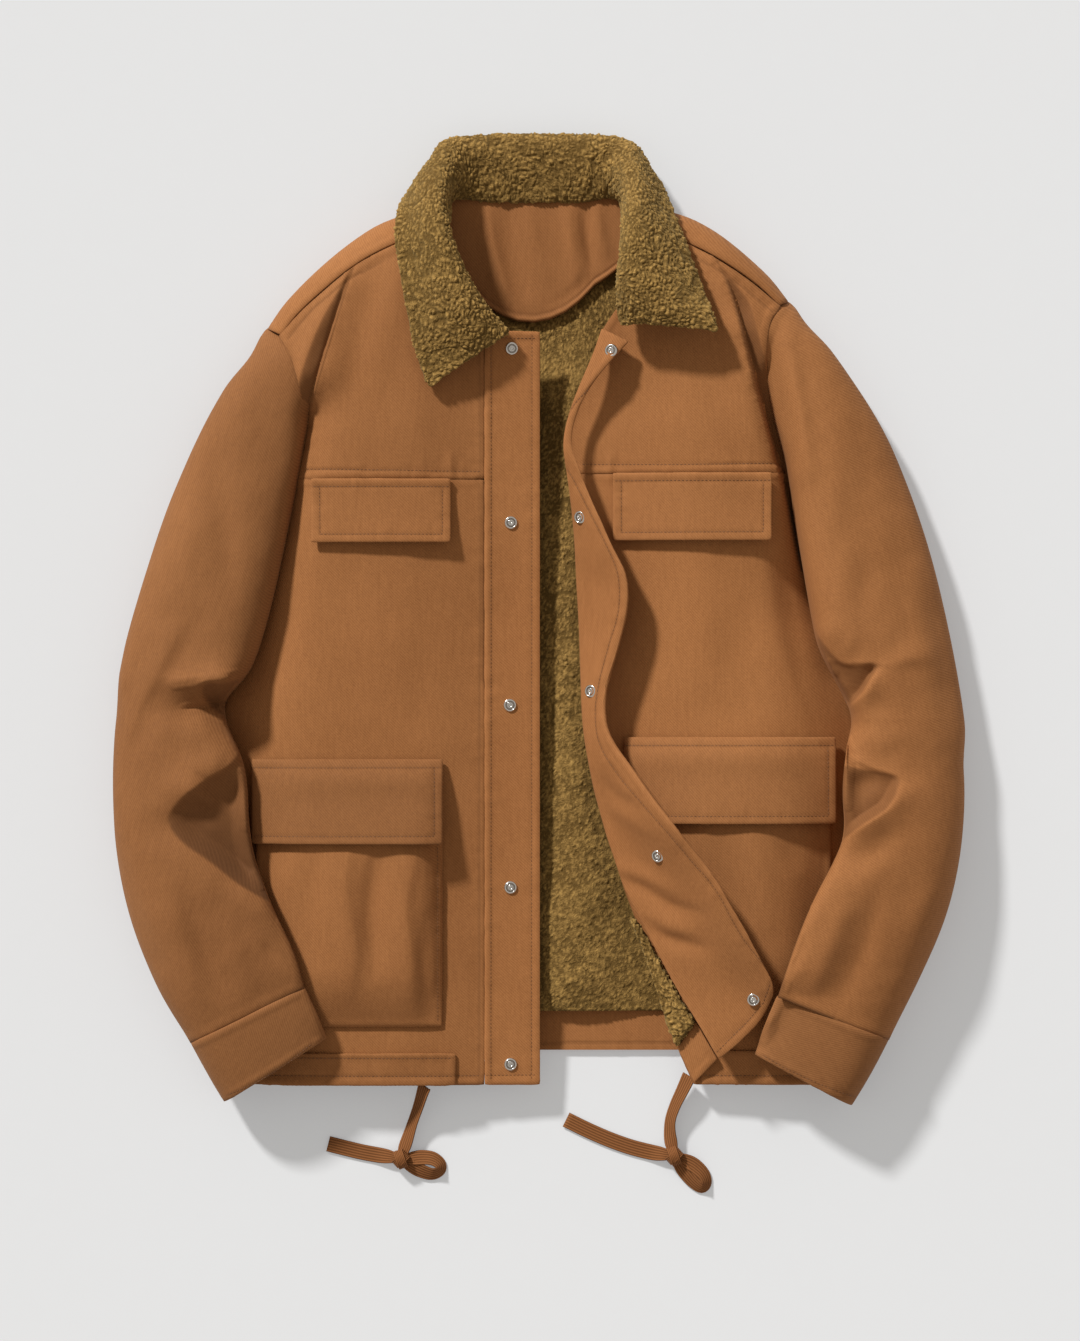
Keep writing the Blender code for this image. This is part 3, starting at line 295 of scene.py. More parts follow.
def nudge(points, moves):
    """Moves points round each centre: centre, radius, shift."""
    for centre, radius, shift in moves:
        near = np.exp(-np.sum((points[:, :2] - np.array(centre)) ** 2, axis=1) / radius ** 2)
        points += near[:, None] * np.array(shift)


# ---------------------------------------------------------------- meshes

CREASE_ANGLE = math.radians(52)     # an edge sharper than this stays a rim when the solid is smoothed
RIM_ANGLE = math.radians(38)        # and still counts as one afterwards
RIM_REACH = 12.0
DROP_HEIGHT = 200.0


def points_of(mesh):
    """A mesh's points in the tables' millimetres."""
    flat = np.empty(len(mesh.vertices) * 3)
    mesh.vertices.foreach_get("co", flat)
    points = flat.reshape(-1, 3) * 1000.0
    points[:, 1] -= BODY_SHIFT
    return points


def put_points(mesh, points):
    points = points.copy()
    points[:, 1] += BODY_SHIFT
    mesh.vertices.foreach_set("co", (points * MM).ravel())
    mesh.update()


def normals_of(mesh):
    flat = np.empty(len(mesh.vertices) * 3)
    mesh.vertex_normals.foreach_get("vector", flat)
    return flat.reshape(-1, 3)


def to_world(x, y, z):
    return Vector((x * MM, (y + BODY_SHIFT) * MM, z * MM))


def set_attribute(mesh, name, values):
    layer = mesh.attributes.new(name, "FLOAT", "POINT")
    layer.data.foreach_set("value", values.astype(np.float32))


def smooth_faces(mesh):
    mesh.polygons.foreach_set("use_smooth", [True] * len(mesh.polygons))


def add_piece(name, mesh, finish):
    mesh.materials.clear()
    mesh.materials.append(finish)
    piece = bpy.data.objects.new(name, mesh)
    bpy.context.scene.collection.objects.link(piece)
    return piece


def select_only(piece):
    bpy.ops.object.select_all(action="DESELECT")
    piece.select_set(True)
    bpy.context.view_layer.objects.active = piece


def apply_all(piece):
    select_only(piece)
    for name in [m.name for m in piece.modifiers]:
        bpy.ops.object.modifier_apply(modifier=name)


def settle(piece, slot, *nodes):
    """The piece rides with the jacket and stands for its solids."""
    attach(piece, "root")
    if nodes:
        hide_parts(*nodes)
    return piece


@contextmanager
def edited(mesh):
    """The mesh opened for changes, which are written back."""
    shape = bmesh.new()
    shape.from_mesh(mesh)
    yield shape
    shape.to_mesh(mesh)
    shape.free()


def face_outwards(mesh):
    with edited(mesh) as shape:
        bmesh.ops.recalc_face_normals(shape, faces=shape.faces)


def solid_tree(node):
    """The node's solid, for casting rays on."""
    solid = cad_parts[node].data
    return BVHTree.FromPolygons([v.co for v in solid.vertices], [tuple(f.vertices) for f in solid.polygons])


def quads_from(node, name, rim):
    """The solid's faces as quads, with its rim creased."""
    shape = bmesh.new()
    shape.from_mesh(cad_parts[node].data)
    bmesh.ops.remove_doubles(shape, verts=shape.verts, dist=1e-6)
    bmesh.ops.join_triangles(shape, faces=shape.faces, angle_face_threshold=1.4, angle_shape_threshold=3.1)
    crease = shape.edges.layers.float.new("crease_edge")
    for edge in shape.edges:
        if edge.calc_face_angle(0.0) > CREASE_ANGLE:
            edge[crease] = rim
    mesh = bpy.data.meshes.new(name)
    shape.to_mesh(mesh)
    shape.free()
    return mesh


def soft_copy(node, name, rim, finish):
    """A smoothed copy of the node's solid, and its mesh."""
    piece = add_piece(name, quads_from(node, name, rim), finish)
    smooth = piece.modifiers.new("smooth", "SUBSURF")
    smooth.levels = smooth.render_levels = 2
    apply_all(piece)
    return piece, piece.data


def finer_where(mesh, chosen, times):
    """Faces that chosen(face) picks are cut in four, and the new points are smoothed."""
    with edited(mesh) as shape:
        for _ in range(times):
            faces = [f for f in shape.faces if chosen(f)]
            edges = list({e for f in faces for e in f.edges})
            result = bmesh.ops.subdivide_edges(shape, edges=edges, cuts=1, use_grid_fill=True)
            fresh = [v for v in result["geom_inner"] if isinstance(v, bmesh.types.BMVert)]
            inner = [v for v in fresh if all(chosen(f) for f in v.link_faces)]
            bmesh.ops.smooth_vert(shape, verts=inner, factor=0.5,
                                  use_axis_x=True, use_axis_y=True, use_axis_z=True)


def rim_distance(mesh, points):
    """Distance of each point from the nearest sharp edge of the piece, up to RIM_REACH."""
    with edited(mesh) as shape:
        rim = {v.index for e in shape.edges if e.calc_face_angle(0.0) > RIM_ANGLE for v in e.verts}
    tree = KDTree(max(len(rim), 1))
    for k in rim:
        tree.insert(points[k], k)
    tree.balance()
    if not rim:
        return np.full(len(points), RIM_REACH)
    return np.array([min(tree.find(p)[2], RIM_REACH) for p in points])


def surface_of(pieces):
    """What has been made so far, for laying the next thing on it."""
    verts, faces = [], []
    for piece in pieces:
        start = len(verts)
        verts.extend(v.co / MM for v in piece.data.vertices)
        faces.extend([start + k for k in f.vertices] for f in piece.data.polygons)
    return BVHTree.FromPolygons(verts, faces)


def drop_on(tree, x, y):
    """Place and normal where a point dropped from above lands."""
    place, normal, _, _ = tree.ray_cast(Vector((x, y + BODY_SHIFT, DROP_HEIGHT)), Vector((0, 0, -1)))
    return place, normal


# ---------------------------------------------------------------- shader groups and finishes

class Graph:
    """Builds one node tree. What a socket is given is another socket, a number or a colour."""

    def __init__(self, tree):
        self.tree = tree

    def fill(self, node, values):
        for key, value in values.items():
            socket = node.inputs[key]
            if isinstance(value, bpy.types.NodeSocket):
                self.tree.links.new(value, socket)
            elif socket.type == "RGBA":
                socket.default_value = (*value, 1.0)
            else:
                socket.default_value = value

    def node(self, kind, values, **settings):
        node = self.tree.nodes.new("ShaderNode" + kind)
        for name, value in settings.items():
            setattr(node, name, value)
        self.fill(node, values)
        return node

    def math(self, operation, *values):
        return self.node("Math", dict(enumerate(values)), operation=operation).outputs[0]

    def add(self, a, b):
        return self.math("ADD", a, b)

    def times(self, a, b):
        return self.math("MULTIPLY", a, b)

    def weighed(self, *pairs):
        """The sum of each value times its weight."""
        total, *others = [self.times(value, weight) for value, weight in pairs]
        for part in others:
            total = self.add(total, part)
        return total

    def noise(self, vector, scale, detail=2.0, roughness=0.5, output="Fac"):
        values = {"Vector": vector, "Scale": scale, "Detail": detail, "Roughness": roughness}
        return self.node("TexNoise", values).outputs[output]

    def ranged(self, value, low, high):
        values = {"Value": value, "From Min": low, "From Max": high}
        return self.node("MapRange", values).outputs["Result"]

    def blend(self, factor, a, b):
        return self.node("Mix", {0: factor, 6: a, 7: b}, data_type="RGBA").outputs[2]

    def attribute(self, name):
        return self.node("Attribute", {}, attribute_name=name).outputs["Fac"]

    def bump(self, height, strength, distance):
        values = {"Height": height, "Strength": strength, "Distance": distance}
        return self.node("Bump", values).outputs["Normal"]

    def fill_named(self, node, **values):
        """Like fill, with the words of a socket's name joined by lines."""
        self.fill(node, {name.replace("_", " "): value for name, value in values.items()})

    def group(self, name, **values):
        """The shader group of that name, made when it is first asked for."""
        made = bpy.data.node_groups.get(name) or GROUPS[name](name)
        node = self.node("Group", {}, node_tree=made)
        self.fill_named(node, **values)
        return node.outputs

    def surface(self, **values):
        self.fill_named(self.tree.nodes["Principled BSDF"], **values)


def new_group(name, inputs, outputs):
    """An empty group with a Vector, other inputs with their values, and outputs that are numbers."""
    tree = bpy.data.node_groups.new(name, "ShaderNodeTree")
    tree.interface.new_socket("Vector", in_out="INPUT", socket_type="NodeSocketVector")
    for label, value in inputs.items():
        socket = tree.interface.new_socket(label, in_out="INPUT", socket_type="NodeSocketFloat")
        socket.default_value = value
    for label in outputs:
        tree.interface.new_socket(label, in_out="OUTPUT", socket_type="NodeSocketFloat")
    return Graph(tree), tree.nodes.new("NodeGroupInput").outputs, tree.nodes.new("NodeGroupOutput")


def twill_group(name):
    """Diagonal twill ridges broken into yarns: height and tone from 0 to 1."""
    graph, given, result = new_group(name, {"Ridges per metre": 870.0}, ("Height", "Tone"))
    x, y, z = graph.node("SeparateXYZ", {0: given["Vector"]}).outputs
    wobble = graph.noise(given["Vector"], 160.0, 1.0)
    along = graph.add(graph.add(x, y), graph.times(z, 0.4))
    across = graph.math("SUBTRACT", y, x)
    turn = graph.times(given["Ridges per metre"], 2 * math.pi / math.sqrt(2))
    ridge = graph.math("SINE", graph.add(graph.times(along, turn), graph.times(wobble, 2.4)))
    yarn = graph.math("SINE", graph.times(across, graph.times(turn, 1.7)))
    height = graph.add(graph.weighed((ridge, 0.30), (yarn, 0.14)), 0.5)
    fleck = graph.noise(given["Vector"], 900.0)
    graph.fill(result, {"Height": height, "Tone": graph.weighed((height, 0.5), (fleck, 0.5))})
    return graph.tree


def shade_group(name):
    """Slow and fine changes of shade over a garment: a factor around 0.5."""
    graph, given, result = new_group(name, {}, ("Shade", "Rough"))
    slow = graph.noise(given["Vector"], 9.0, 3.0)
    stretch = graph.node("Mapping", {"Vector": given["Vector"], "Scale": (1.0, 0.12, 1.0)})
    slub = graph.noise(stretch.outputs[0], 420.0, 3.0, 0.6)
    fine = graph.noise(given["Vector"], 300.0, 4.0, 0.65)
    graph.fill(result, {"Shade": graph.weighed((slow, 0.4), (slub, 0.3), (fine, 0.3)),
                        "Rough": graph.add(graph.times(fine, 0.2), 0.74)})
    return graph.tree


def curl_group(name):
    """Fine curls of the pile between its clumps: height from 0 to 1."""
    graph, given, result = new_group(name, {"Scale": 700.0}, ("Height",))
    twist = graph.noise(given["Vector"], 220.0, 1.0, output="Color")
    bend = graph.node("VectorMath", {0: twist, "Scale": 0.006}, operation="SCALE").outputs[0]
    moved = graph.node("VectorMath", {0: given["Vector"], 1: bend}, operation="ADD").outputs[0]
    cells = graph.node("TexVoronoi", {}, feature="SMOOTH_F1")
    graph.fill(cells, {"Vector": moved, "Scale": given["Scale"], "Smoothness": 0.4})
    fuzz = graph.noise(moved, 2400.0)
    height = graph.math("SUBTRACT", 1.0, cells.outputs["Distance"])
    graph.fill(result, {"Height": graph.weighed((height, 0.75), (fuzz, 0.25))})
    return graph.tree


GROUPS = {"twill_weave": twill_group, "cloth_shade": shade_group, "pile_curl": curl_group}


def finish_maker(paint):
    """The finish of a name is made once: paint(graph, coords, ...) gives it its surface."""
    def finish(name, *about):
        made = bpy.data.materials.get(name)
        if made is None:
            made = bpy.data.materials.new(name)
            made.use_nodes = True
            graph = Graph(made.node_tree)
            paint(graph, graph.node("TexCoord", {}).outputs["Object"], *about)
        return made
    finish.__doc__ = paint.__doc__
    return finish


def toned(colour_value, *by):
    """The colour times one number, or each channel times its own."""
    return tuple(c * k for c, k in zip(colour_value, by * 3 if len(by) == 1 else by))


@finish_maker
def twill_finish(graph, coords, turn, tint=1.0):
    """Brown twill; turn is the lie of its grain and tint its shade against the rest."""
    lie = graph.node("Mapping", {"Vector": coords, "Rotation": (0.0, 0.0, math.radians(turn))}).outputs[0]
    weave = graph.group("twill_weave", Vector=lie, Ridges_per_metre=1000.0 / sizes().twill_pitch)
    shade = graph.group("cloth_shade", Vector=lie)
    low, high = toned(colours().brown_low, tint), toned(colours().brown, tint)
    mixed = graph.weighed((weave["Tone"], 0.60), (shade["Shade"], 0.80))
    cloth = graph.blend(graph.ranged(mixed, 0.46, 0.92), low, high)
    # Painted highlight with some wear: free top edges are made lighter.
    painted_light_and_wear = tuple(min(c * 1.22 + 0.012, 1.0) for c in high)
    edge = graph.times(graph.attribute("edge"), shade["Shade"])
    cloth = graph.blend(graph.times(edge, 0.25), cloth, painted_light_and_wear)
    # Painted shade: darker along seams, in stitched grooves and in the hollows under folds.
    cloth = graph.blend(graph.attribute("painted_shade"), cloth, toned(low, 0.42))
    height = graph.add(weave["Height"], graph.times(shade["Shade"], 1.6))
    graph.surface(Base_Color=cloth, Roughness=shade["Rough"], Specular_IOR_Level=0.25, Sheen_Weight=0.05,
                  Sheen_Roughness=0.5, Sheen_Tint=(0.9, 0.62, 0.38),
                  Normal=graph.bump(height, 0.42, sizes().twill_relief * MM * 2.2))


@finish_maker
def pile_finish(graph, coords, tint):
    """Olive sherpa: light curled tips over dark roots."""
    curl = graph.group("pile_curl", Vector=coords)["Height"]
    slow = graph.noise(coords, 14.0)
    # Painted shade from how high the pile and its curls stand.
    tone = graph.weighed((graph.attribute("pile"), 0.72), (curl, 0.42), (slow, 0.22))
    root, tip = toned(colours().olive_root_painted_shade, tint), toned(colours().olive_tip, tint)
    graph.surface(Base_Color=graph.blend(graph.ranged(tone, 0.50, 1.02), root, tip), Roughness=0.95,
                  Specular_IOR_Level=0.15, Sheen_Weight=0.25, Sheen_Roughness=0.6,
                  Sheen_Tint=(0.75, 0.62, 0.30), Normal=graph.bump(curl, 0.8, 0.0009))


@finish_maker
def thread_finish(graph, coords):
    """Dull brown thread."""
    grain = graph.noise(coords, 1800.0)
    thread = colours().thread
    graph.surface(Base_Color=graph.blend(grain, toned(thread, 0.7), thread), Roughness=0.6,
                  Normal=graph.bump(grain, 0.5, 0.0001))


@finish_maker
def tape_finish(graph, coords):
    """Brown tie tape, a shade lighter on its ribs."""
    weave = graph.group("twill_weave", Vector=coords, Ridges_per_metre=1400.0)
    tone = graph.weighed((graph.attribute("rib"), 0.65), (weave["Tone"], 0.35))
    low, high = toned(colours().brown_low, 0.60), toned(colours().brown, 0.76, 0.72, 0.74)
    graph.surface(Base_Color=graph.blend(graph.ranged(tone, 0.36, 0.9), low, high), Roughness=0.85,
                  Specular_IOR_Level=0.2, Normal=graph.bump(weave["Height"], 0.5, 0.0002))


@finish_maker
def metal_finish(graph, coords):
    """Bright plate with fine handling marks, dark where it is worn."""
    marks = graph.noise(coords, 900.0, 4.0, 0.7)
    steel = colours().steel
    plate = graph.blend(marks, toned(steel, 0.82), steel)
    graph.surface(Base_Color=graph.blend(graph.attribute("painted_light_and_wear"), plate, (0.16, 0.11, 0.085)),
                  Roughness=graph.add(graph.times(marks, 0.16), 0.14), Metallic=1.0,
                  Normal=graph.bump(marks, 0.25, 0.00004))


@finish_maker
def floor_finish(graph, coords):
    """Pale table that gives off a little light of its own."""
    grain = graph.noise(coords, 60.0, 3.0)
    pale = colours().floor
    graph.surface(Base_Color=graph.blend(grain, toned(pale, 0.985), pale), Roughness=0.9,
                  Specular_IOR_Level=0.1, Emission_Color=(0.965, 1.0, 1.04),
                  Emission_Strength=bpy.context.scene.jacket_studio.floor_glow)


# ---------------------------------------------------------------- cloth panels

# Each panel: its solid, cut width and length, turn of its grain in degrees, and its painted light and shade,
# a factor that makes it lighter or darker as the light falls on it.
PANELS = [
    ("left_front_yoke", 172, 212, 2, 0.93), ("left_front", 206, 488, 0, 0.97),
    ("right_front_yoke", 180, 210, -2, 1.0), ("right_front", 240, 492, 0, 1.06),
    ("back_yoke", 440, 250, 0, 1.0), ("left_placket", 45, 602, 0, 1.06),
    ("left_chest_flap", 112, 52, 0, 0.94), ("right_chest_flap", 127, 56, 0, 0.98),
    ("left_pocket_bag", 160, 205, 0, 0.94), ("right_pocket_bag", 172, 216, 0, 0.92),
    ("left_pocket_flap", 156, 69, 0, 0.75), ("right_pocket_flap", 173, 71, 0, 0.87),
    ("left_hem_casing", 158, 27, 0, 0.90), ("right_hem_casing", 108, 29, 0, 0.93),
    ("right_facing", 90, 640, 6, 0.98), ("right_hem_facing", 38, 40, 30, 1.0),
    ("left_sleeve", 300, 610, 14, 0.78), ("right_sleeve", 300, 620, -14, 0.96),
    ("left_cuff", 260, 56, 30, 0.74), ("right_cuff", 260, 58, -30, 0.77),
]

# Where a panel is creased sharply and cut finer, above FINE_CLOTH_FROM: left, lower, right, upper limit.
FINE_CLOTH_FROM = 12.0
FINE_CLOTH = {
    "left_sleeve": (-312, -238, -194, -24), "right_sleeve": (214, -190, 300, -4),
    "left_front_yoke": (-210, 100, -142, 290), "right_front_yoke": (136, 100, 212, 290),
    "left_front": (-240, 36, -178, 130), "right_front": (176, 30, 240, 130),
}

# Soft ridges and troughs of the body: rise, width left and right of the line, the line.
BODY_FOLDS = [
    (6.5, 13, 9, [(-150, 276), (-163, 256), (-176, 232), (-186, 206), (-194, 178), (-201, 150)]),
    (-4.5, 26, 3.5, [(-144, 285), (-155, 254), (-166, 216), (-179, 174), (-188, 134)]),
    (-0.9, 9, 12, [(-124, 290), (-134, 258), (-144, 222), (-150, 190)]),
    (0.9, 12, 12, [(-104, 300), (-112, 256), (-128, 214), (-132, 170)]),
    (1.3, 12, 16, [(-90, 196), (-98, 156), (-90, 122)]),
    (1.8, 3.2, 4.5, [(-70.5, 130), (-70, 119), (-69.4, 109)]),
    (3.0, 2.4, 13, [(137, 290), (149, 262), (159, 228), (169, 188), (182, 142), (195, 96), (207, 38)]),
    (6.5, 2.4, 17, [(164, 214), (171, 190), (178, 160), (185, 132), (192, 106), (199, 76), (206, 40)]),
    (-1.0, 10, 9, [(120, 288), (130, 258), (142, 226), (146, 196)]),
    (1.5, 12, 12, [(104, 296), (112, 264), (120, 226)]),
    (1.2, 14, 18, [(150, 170), (158, 130), (152, 96)]),
    (2.0, 3.2, 4.5, [(56.4, 128), (56.8, 120), (57, 110)]),
    (1.6, 8, 16, [(-199, 76), (-206, 40), (-214, 2), (-222, -40)]),
    (-1.8, 9, 9, [(-188, 70), (-192, 30), (-199, -10), (-207, -50)]),
    (1.2, 18, 20, [(-150, 30), (-132, -20), (-140, -90)]),
    (-1.1, 14, 14, [(-96, 20), (-90, -40), (-98, -96)]),
    (1.5, 16, 8, [(200, 70), (207, 30), (215, -10), (224, -50)]),
    (-1.7, 9, 9, [(190, 66), (196, 26), (203, -14), (210, -54)]),
    (1.2, 16, 16, [(120, 50), (132, 0), (128, -70)]),
    (-1.1, 14, 18, [(172, 40), (164, -20), (172, -80)]),
]

# The turned-back front edge, how far it stands up, and the facing's creases.
FRONT_EDGE = [(52, 200), (22, 168), (18, 140), (34, 114), (58, 64), (71, 30), (66, -16), (52, -60),
              (54, -100), (86, -140), (124, -184), (165, -246), (190, -280)]
FACING_LIFT = 14.0
FACING_REACH = 42.0
FACING_FOLDS = [
    (-2.8, 3.5, 7, [(60, -206), (82, -214), (106, -228), (131, -234)]),
    (2.0, 7, 4, [(62, -198), (86, -207), (112, -221)]),
    (-3.2, 3.5, 8, [(84, -240), (98, -252), (116, -258), (134, -262)]),
    (2.2, 7, 4, [(88, -236), (104, -246), (124, -250)]),
    (-2.2, 4, 6, [(50, -128), (64, -142), (82, -153)]),
    (1.6, 5, 5, [(54, -148), (70, -160), (88, -172)]),
    (-1.8, 3.5, 5, [(22, 124), (34, 108), (46, 90)]),
    (1.6, 4, 4, [(28, 126), (42, 104), (52, 84)]),
    (1.4, 7, 7, [(36, 60), (42, 10), (38, -40)]),
    (-1.3, 6, 6, [(54, 40), (54, 0), (46, -40)]),
]

BAG_FOLDS = [
    (3.2, 7, 16, [(-152, -180), (-155, -220), (-148, -262), (-152, -304)]),
    (-4.2, 11, 8, [(-126, -182), (-134, -226), (-129, -286)]),
    (2.6, 6, 11, [(-99, -184), (-106, -236), (-96, -302)]),
    (-2.8, 7, 7, [(-89, -236), (-92, -288), (-88, -322)]),
    (-2.6, 9, 12, [(-178, -186), (-183, -236), (-176, -280)]),
    (1.8, 9, 12, [(-200, -190), (-206, -240)]),
    (2.2, 12, 10, [(168, -166), (178, -212), (186, -250)]),
    (-2.6, 10, 12, [(144, -168), (152, -208), (164, -244)]),
    (-2.2, 10, 10, [(196, -166), (204, -200)]),
]

SLEEVE_CREASES = [
    (3.6, 3.0, 15, [(-222, -34), (-234, -45), (-251, -49), (-264, -50), (-272, -57)]),
    (3.8, 3.0, 15, [(-272, -56), (-266, -69), (-255, -80), (-247, -89), (-239, -101)]),
    (2.2, 6, 10, [(-304, -49), (-286, -50), (-268, -50)]),
    (2.2, 7, 13, [(-284, -1), (-303, -42), (-319, -70), (-332, -106)]),
    (-2.0, 10, 9, [(-272, -6), (-292, -42), (-307, -70), (-321, -108)]),
    (3.4, 4.5, 17, [(-232, -98), (-247, -117), (-263, -126), (-285.6, -144), (-297, -158)]),
    (2.8, 7, 17, [(-298, -160), (-286, -179), (-256, -201), (-226, -220), (-203, -250)]),
    (-3.0, 10, 13, [(-256, 134), (-249, 70), (-246, 10)]),
    (2.2, 12, 16, [(-280, 108), (-284, 48), (-276, -4)]),
    (-2.4, 10, 12, [(-303, 94), (-311, 40), (-311, -6)]),
    (-2.8, 8, 13, [(-332, -176), (-322, -230), (-302, -284)]),
    (2.4, 11, 12, [(-298, -208), (-283, -262), (-266, -308)]),
    (-2.6, 8, 10, [(-278, -222), (-264, -266), (-246, -304)]),
    (1.8, 8, 9, [(-250, -230), (-238, -268), (-226, -304)]),
    (-2.6, 4, 5, [(-218, -258), (-208, -272), (-197, -285)]),
    (2.2, 4, 5, [(-211, -268), (-200, -280), (-191, -289)]),
    (3.4, 14, 3.0, [(219, -8), (233, -28), (243, -35), (262, -35), (275, -37)]),
    (3.2, 14, 5.0, [(276, -37), (270, -46), (261, -60), (252, -70), (243, -84)]),
    (2.4, 11, 7, [(274, -38), (294, -31), (314, -33)]),
    (3.6, 15, 3.2, [(240, -104), (252, -112), (264, -118), (278, -122), (290, -127)]),
    (2.8, 15, 6.0, [(291, -128), (286, -145), (276, -155), (262, -164), (243, -179)]),
    (-2.4, 10, 13, [(282, -172), (260, -188), (240, -202)]),
    (-6.0, 8, 9, [(182, 228), (187, 196), (193, 160), (199, 116)]),
    (4.2, 8, 12, [(196, 234), (202, 192), (208, 152), (213, 106)]),
    (2.2, 16, 16, [(240, 176), (238, 110), (232, 56)]),
    (-2.6, 14, 12, [(262, 66), (256, 20), (262, -22)]),
    (2.8, 12, 12, [(298, 44), (306, -6), (318, -54)]),
    (-2.4, 16, 12, [(316, 16), (326, -40), (328, -94)]),
    (2.4, 14, 14, [(318, -186), (304, -244), (284, -300)]),
    (-3.0, 9, 12, [(270, -212), (256, -262), (238, -304)]),
    (2.4, 9, 9, [(242, -226), (228, -268), (214, -302)]),
    (-2.4, 5, 5, [(212, -252), (202, -272), (192, -288)]),
]

# Hollows under a fold: how steeply they go down from their first line, how deep they get, how far from
# their second line they come up again, their painted shade at the first and second line, and the two
# lines from the point where they meet.
LEFT_ARMHOLE = [(-145.6, 285), (-155, 257), (-167, 218), (-180, 174), (-189, 134), (-198, 94)]
RIGHT_ARMHOLE = [(140, 288), (152, 262), (162.4, 226), (173, 186), (185.6, 142), (198, 98)]
BODY_HOLLOWS = [
    (0.60, 9.0, 2.2, (0.45, 0.6),
     [(-145.6, 285), (-162, 258), (-175, 234), (-186, 206), (-194, 178), (-201, 154), (-207, 126),
      (-214, 94), (-222, 54)],
     LEFT_ARMHOLE + [(-206, 54)]),
    (0.95, 10.0, 1.6, (0.45, 0.7),
     [(140, 288), (157.6, 266), (169, 250), (174.4, 230), (179, 213), (185, 186), (192, 166), (199, 142),
      (206, 118), (214, 94), (226, 38)],
     RIGHT_ARMHOLE + [(210, 38)]),
]
SLEEVE_HOLLOWS = [
    (0.85, 14.0, 2.6, (0.3, 0.45),
     [(-268.8, -59.2), (-266.4, -53.6), (-260.8, -50.4), (-250.4, -51.2), (-239.2, -48.8), (-232.8, -44.8),
      (-218, -30)],
     [(-268.8, -59.2), (-264, -68.8), (-258.4, -74.4), (-252, -80), (-246.4, -87.2), (-240.8, -96),
      (-230, -110)]),
    (0.50, 17.0, 17.0, (0.25, 0.72),
     [(-295.2, -161.6), (-293.6, -155.2), (-285.6, -145.6), (-275.2, -135.2), (-261.6, -126.4),
      (-248.8, -118.4), (-240.8, -108), (-230, -92)],
     [(-295.2, -161.6), (-290.4, -171.2), (-279.2, -182.4), (-264.8, -192), (-250.4, -203.2),
      (-236.8, -213.6), (-212, -228)]),
    (1.00, 15.0, 4.0, (0.35, 0.45),
     [(271.2, -38.4), (263.2, -35.2), (253.6, -37.6), (242.4, -36), (234.4, -29.6), (226.4, -19.2),
      (216, -4)],
     [(271.2, -38.4), (268, -43.2), (263.2, -49.6), (257.6, -59.2), (251.2, -67.2), (236, -86)]),
    (1.05, 12.0, 9.0, (0.40, 0.50),
     [(287.2, -129.6), (282.4, -124.8), (270.4, -121.6), (256.8, -119.2), (242.4, -116), (228, -110)],
     [(287.2, -129.6), (283.2, -141.6), (276, -152), (264.8, -160), (252.8, -168), (232, -186)]),
]

# Sewn lines: the panels they press, the points of the line, and whether its stitches show.
SEWING = [
    (("left_placket",), [(-38.2, 226), (-38.6, -370)], True),
    (("left_placket",), [(-5.6, 226), (-6.0, -370)], True),
    (("left_placket",), [(-43, -365.6), (0, -365.6)], True),
    (("left_placket",), [(-43, 222.6), (0, 222.6)], True),
    (("left_front", "left_front_yoke"), [(-186, 118.6), (-130, 117.6), (-46, 116.4)], True),
    (("left_front", "left_front_yoke"), [(-47.4, 226), (-47.4, -372)], False),
    (("right_front", "right_front_yoke"), [(34, 122.6), (110, 121.8), (192, 122.8)], True),
    (("left_chest_flap",), [(-174.6, 104), (-174.0, 66.4), (-76.8, 66.2), (-76.8, 104)], True),
    (("left_chest_flap",), [(-180, 104.2), (-71, 104.2)], True),
    (("right_chest_flap",), [(65.4, 109), (65.6, 67.8), (178.2, 68.2), (178, 109)], True),
    (("right_chest_flap",), [(60, 109.2), (184, 109.2)], True),
    (("left_pocket_flap",), [(-228, -119.6), (-78, -119.4)], True),
    (("left_pocket_flap",), [(-83.2, -120), (-83.2, -173.6), (-228, -174)], True),
    (("right_pocket_flap",), [(68, -101.8), (236, -101.8)], True),
    (("right_pocket_flap",), [(76, -157.8), (230.6, -157.8), (230.4, -102)], True),
    (("left_pocket_bag",), [(-80.6, -176), (-80.8, -322)], True),
    (("left_front", "left_hem_casing"), [(-224, -366), (-46, -366)], True),
    (("left_hem_casing",), [(-222, -351.6), (-68, -351.6)], True),
    (("right_hem_casing", "right_front"), [(132, -366), (236, -366)], True),
    (("right_facing",), [(68, 214), (49, 191), (27, 168), (16.6, 146), (13, 133), (26, 112), (38, 88),
                         (52, 60), (62.4, 34), (63, 6), (56, -20), (48, -50), (44.6, -76), (48, -100),
                         (62, -124), (82, -148), (104, -173), (120, -192), (140, -216), (160, -252),
                         (184, -282)], True),
    (("right_facing",), [(183, -290), (178, -306), (165, -322), (152, -335), (141, -346)], True),
    (("left_cuff",), [(-258, -384), (-226, -370), (-202, -356), (-180, -338)], True),
    (("right_cuff",), [(252, -382), (222, -370), (196, -358), (178, -348)], True),
    (("left_front_yoke", "left_front"), LEFT_ARMHOLE, False),
    (("right_front_yoke", "right_front"), RIGHT_ARMHOLE, False),
    (("left_front_yoke",), [(-200, 222), (-180, 246), (-150, 270), (-121, 286), (-98, 296)], False),
    (("right_front_yoke",), [(186, 244), (164, 262), (140, 278), (118, 290), (96, 299)], False),
]
PRESS_DEPTH = 0.34      # how deep and wide a row of stitches sinks in, and how dark and wide the painted shade in its groove is
PRESS_WIDTH = 1.5
PRESS_DARK = 0.32
PRESS_DARK_WIDTH = 0.9
PUCKER_REACH = 8.0
PUCKER_STEP = 7.0
ROLL_WIDTH = 6.2
